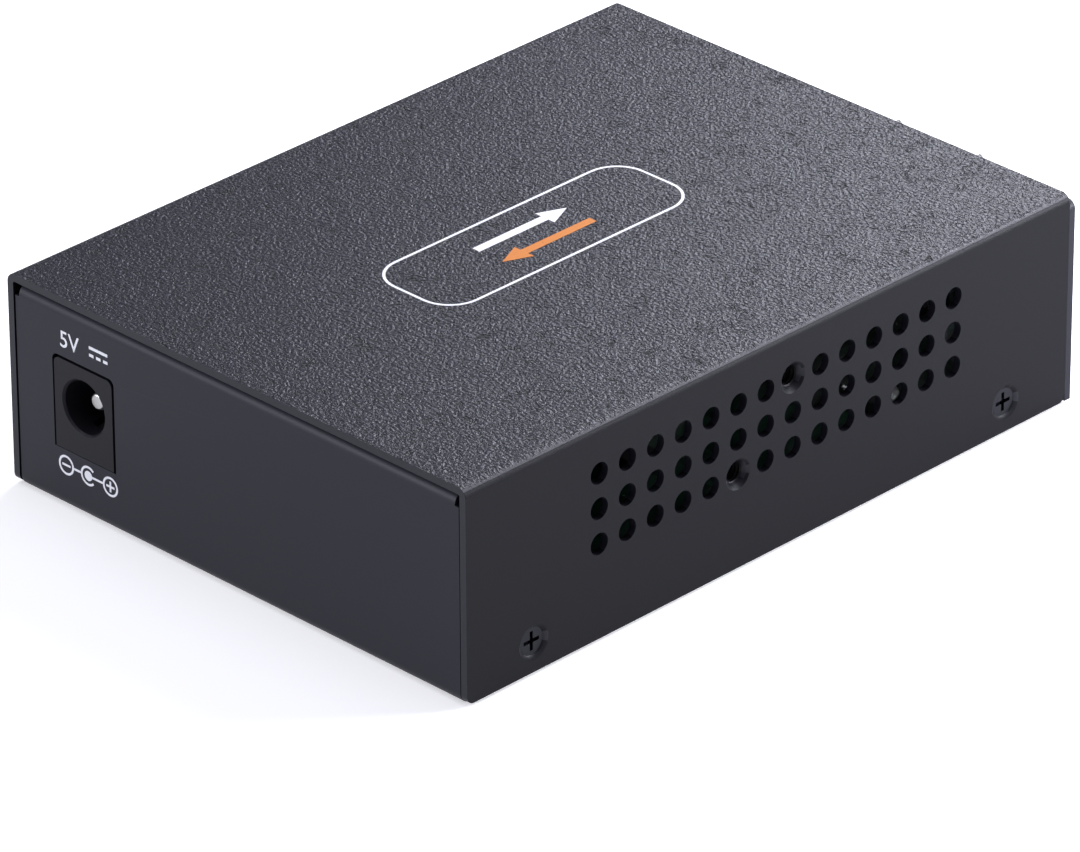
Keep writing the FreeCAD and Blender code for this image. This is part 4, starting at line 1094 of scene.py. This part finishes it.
class OpticalModule(SkinnedAssembly):
    """The pull-out optical module with its bail and latch."""

    skins = (
        Skin("module_shell", Finishes.MODULE, edge=0.08 * MM, body=Body.MODULE),
        Skin("module_nose", Finishes.MODULE, edge=0.08 * MM, body=Body.MODULE),
        Skin("emi_collar", Finishes.SHIELD, body=Body.MODULE),
        Skin("module_board", Finishes.BOARD, body=Body.MODULE, bare=True),
        Skin("laser_barrel", Finishes.RECEPTACLE, body=Body.MODULE),
        Skin("detector_barrel", Finishes.RECEPTACLE, body=Body.MODULE),
        Skin("label_plate", Finishes.LABEL, edge=0.03 * MM, body=Body.MODULE),
        Skin("bail_wire", Finishes.MODULE, body=Body.BAIL),
        Skin("bail_grip", Finishes.GRIP, edge=0.05 * MM, body=Body.BAIL),
        Skin("latch_lever", Finishes.MODULE, edge=0.05 * MM, body=Body.LATCH),
    )


class BoardParts(SkinnedAssembly):
    """The circuit board and what is soldered or screwed to it."""

    skins = (
        Skin("main_board", Finishes.BOARD),
        Skin("board_standoffs", Finishes.ZINC),
        Skin("board_screws", Finishes.ZINC),
        Skin("network_chip", Finishes.CHIP),
        Skin("lan_transformer", Finishes.CHIP),
        Skin("crystal", Finishes.CAN),
        Skin("power_inductor", Finishes.CHOKE),
        Skin("electrolytic_capacitors", Finishes.CAN),
        Skin("voltage_regulator", Finishes.CHIP),
        Skin("flash_chip", Finishes.CHIP),
        Skin("status_leds", Finishes.LAMP),
        Skin("light_guides", Finishes.GUIDE, edge=0.05 * MM),
    )


@dataclass(frozen=True)
class Lamp:
    """A rectangular soft lamp: place, aim, width and height in metres, and power in watts."""

    name: str
    place: Place
    target: Place
    size: Flat
    power: float


@dataclass
class Studio(Assembly):
    """White floor, soft lamps and the camera."""

    lens: float = 293.84
    sensor: float = 36.0
    azimuth: float = 224.788
    elevation: float = 28.532
    roll: float = -0.2488
    shift_right: float = 0.717 * MM
    shift_up: float = -1.748 * MM
    distance: float = 970.40 * MM
    clip_start: float = 0.05
    tint: Place = (0.89, 0.9, 1.0)
    room_tint: Colour = (0.88, 0.89, 1.0, 1.0)
    room_light: float = 0.2
    room_seen: float = 1.0
    floor_half: float = 6.0
    floor_drop: float = 0.02 * MM
    floor_white: float = 0.66
    floor_seen: float = 0.34
    floor_glow: float = 0.42
    lamps: tuple[Lamp, ...] = (
        Lamp("sky_panel", (-0.05, 0.1, 0.9), (0, 0, 0), (0.9, 0.9), 3.0),
        Lamp("side_box", (0.12, -0.56, 0.3), (0, 0, 0.02), (0.4, 0.36), 0.6),
        Lamp("corner_box", (0.11, -0.27, 0.18), (-0.03, -0.04, 0.026), (0.16, 0.16), 0.62),
        Lamp("fold_strip", (-0.16, -0.36, 0.42), (0, 0, 0.02), (0.3, 0.16), 1.5),
        Lamp("rear_fill", (0.55, 0.9, 0.3), (0, 0.03, 0.01), (0.6, 0.4), 7.0),
        Lamp("vent_fill", (-0.2, -0.24, 0.1), (0, -0.03, 0.01), (0.14, 0.12), 1.2),
    )

    def build(self) -> list[Piece]:
        """Make the floor, the lamps and the camera; returns them."""
        made = [self.floor(), self.camera()]
        self.world()
        return made + [self.lamp(lamp) for lamp in self.lamps]

    def floor(self) -> Piece:
        """Wide white floor, clear from below; camera and reflections see it white but for shadow.

        Returns:
            The floor object.
        """
        size = self.floor_half
        level = -self.floor_drop
        corners = [(-size, -size, level), (size, -size, level), (size, size, level),
                   (-size, size, level)]
        mesh = bpy.data.meshes.new("floor")
        mesh.from_pydata(corners, [], [(0, 1, 2, 3)])
        material, bench, shader = new_material("floor_white")
        path = bench.add("ShaderNodeLightPath")
        seen = path.outputs["Is Camera Ray"]
        albedo = bench.math("MULTIPLY_ADD", seen, self.floor_seen, self.floor_white)
        for ray in ("Is Glossy Ray", "Is Transmission Ray"):
            seen = bench.math("MAXIMUM", seen, path.outputs[ray])
        behind = bench.add("ShaderNodeNewGeometry").outputs["Backfacing"]
        bench.fill(shader, {"Base Color": albedo, "Roughness": 1.0, "Specular IOR Level": 0.0,
                            "Alpha": bench.math("SUBTRACT", 1.0, behind),
                            "Emission Color": (1, 1, 1, 1),
                            "Emission Strength": bench.times(seen, self.floor_glow)})
        mesh.materials.append(material)
        floor = linked(bpy.data.objects.new("floor", mesh))
        return floor

    def world(self) -> None:
        """Plain pale surroundings, white to the camera."""
        world = bpy.data.worlds.new("plain_room")
        world.use_nodes = True
        bench = Bench(world.node_tree)
        back = world.node_tree.nodes["Background"]
        seen = bench.add("ShaderNodeLightPath").outputs["Is Camera Ray"]
        strength = bench.math("MULTIPLY_ADD", seen, self.room_seen, self.room_light)
        bench.fill(back, {"Strength": strength, "Color": self.room_tint})
        bpy.context.scene.world = world

    def lamp(self, plan: Lamp) -> Piece:
        """Make a lamp and aim it.

        Args:
            plan: What it is like.

        Returns:
            The lamp object.
        """
        light = bpy.data.lights.new(plan.name, "AREA")
        light.shape = "RECTANGLE"
        light.size, light.size_y = plan.size
        light.energy = plan.power
        light.color = self.tint
        lamp = linked(bpy.data.objects.new(plan.name, light))
        turn = (Vector(plan.target) - Vector(plan.place)).to_track_quat("-Z", "Y")
        lamp.matrix_world = Matrix.Translation(plan.place) @ turn.to_matrix().to_4x4()
        return lamp

    def camera(self) -> Piece:
        """Camera at the fitted place and turn; returns it."""
        azimuth = math.radians(self.azimuth)
        elevation = math.radians(self.elevation)
        roll = math.radians(self.roll)
        level = math.cos(elevation)
        back = Vector((math.sin(azimuth) * level, -math.cos(azimuth) * level, math.sin(elevation)))
        right = Vector((0, 0, 1)).cross(back).normalized()
        upward = back.cross(right)
        turned_right = right * math.cos(roll) + upward * math.sin(roll)
        turned_up = upward * math.cos(roll) - right * math.sin(roll)
        place = back * self.distance - turned_right * self.shift_right - turned_up * self.shift_up
        data = bpy.data.cameras.new("photo_camera")
        data.lens = self.lens
        data.sensor_width = self.sensor
        data.sensor_fit = "HORIZONTAL"
        data.clip_start = self.clip_start
        camera = linked(bpy.data.objects.new("photo_camera", data))
        turn = Matrix((turned_right, turned_up, back)).transposed().to_4x4()
        camera.matrix_world = Matrix.Translation(place) @ turn
        bpy.context.scene.camera = camera
        return camera


def main() -> None:
    """Build every sub-assembly and report its pieces."""
    logging.basicConfig(level=logging.INFO, format="%(name)s: %(message)s")
    assemblies: list[Assembly] = [Case(), RearMarks(), TopBadge(), Threads(), PowerSocket(),
                                  NetworkSocket(), Cage(), OpticalModule(), BoardParts(), Studio()]
    for assembly in assemblies:
        for piece in assembly.build():
            LOG.info("%s made %s", type(assembly).__name__, piece.name)
    bpy.context.scene.view_settings.view_transform = "Standard"
    bpy.context.view_layer.update()


if __name__ == "__main__":
    main()
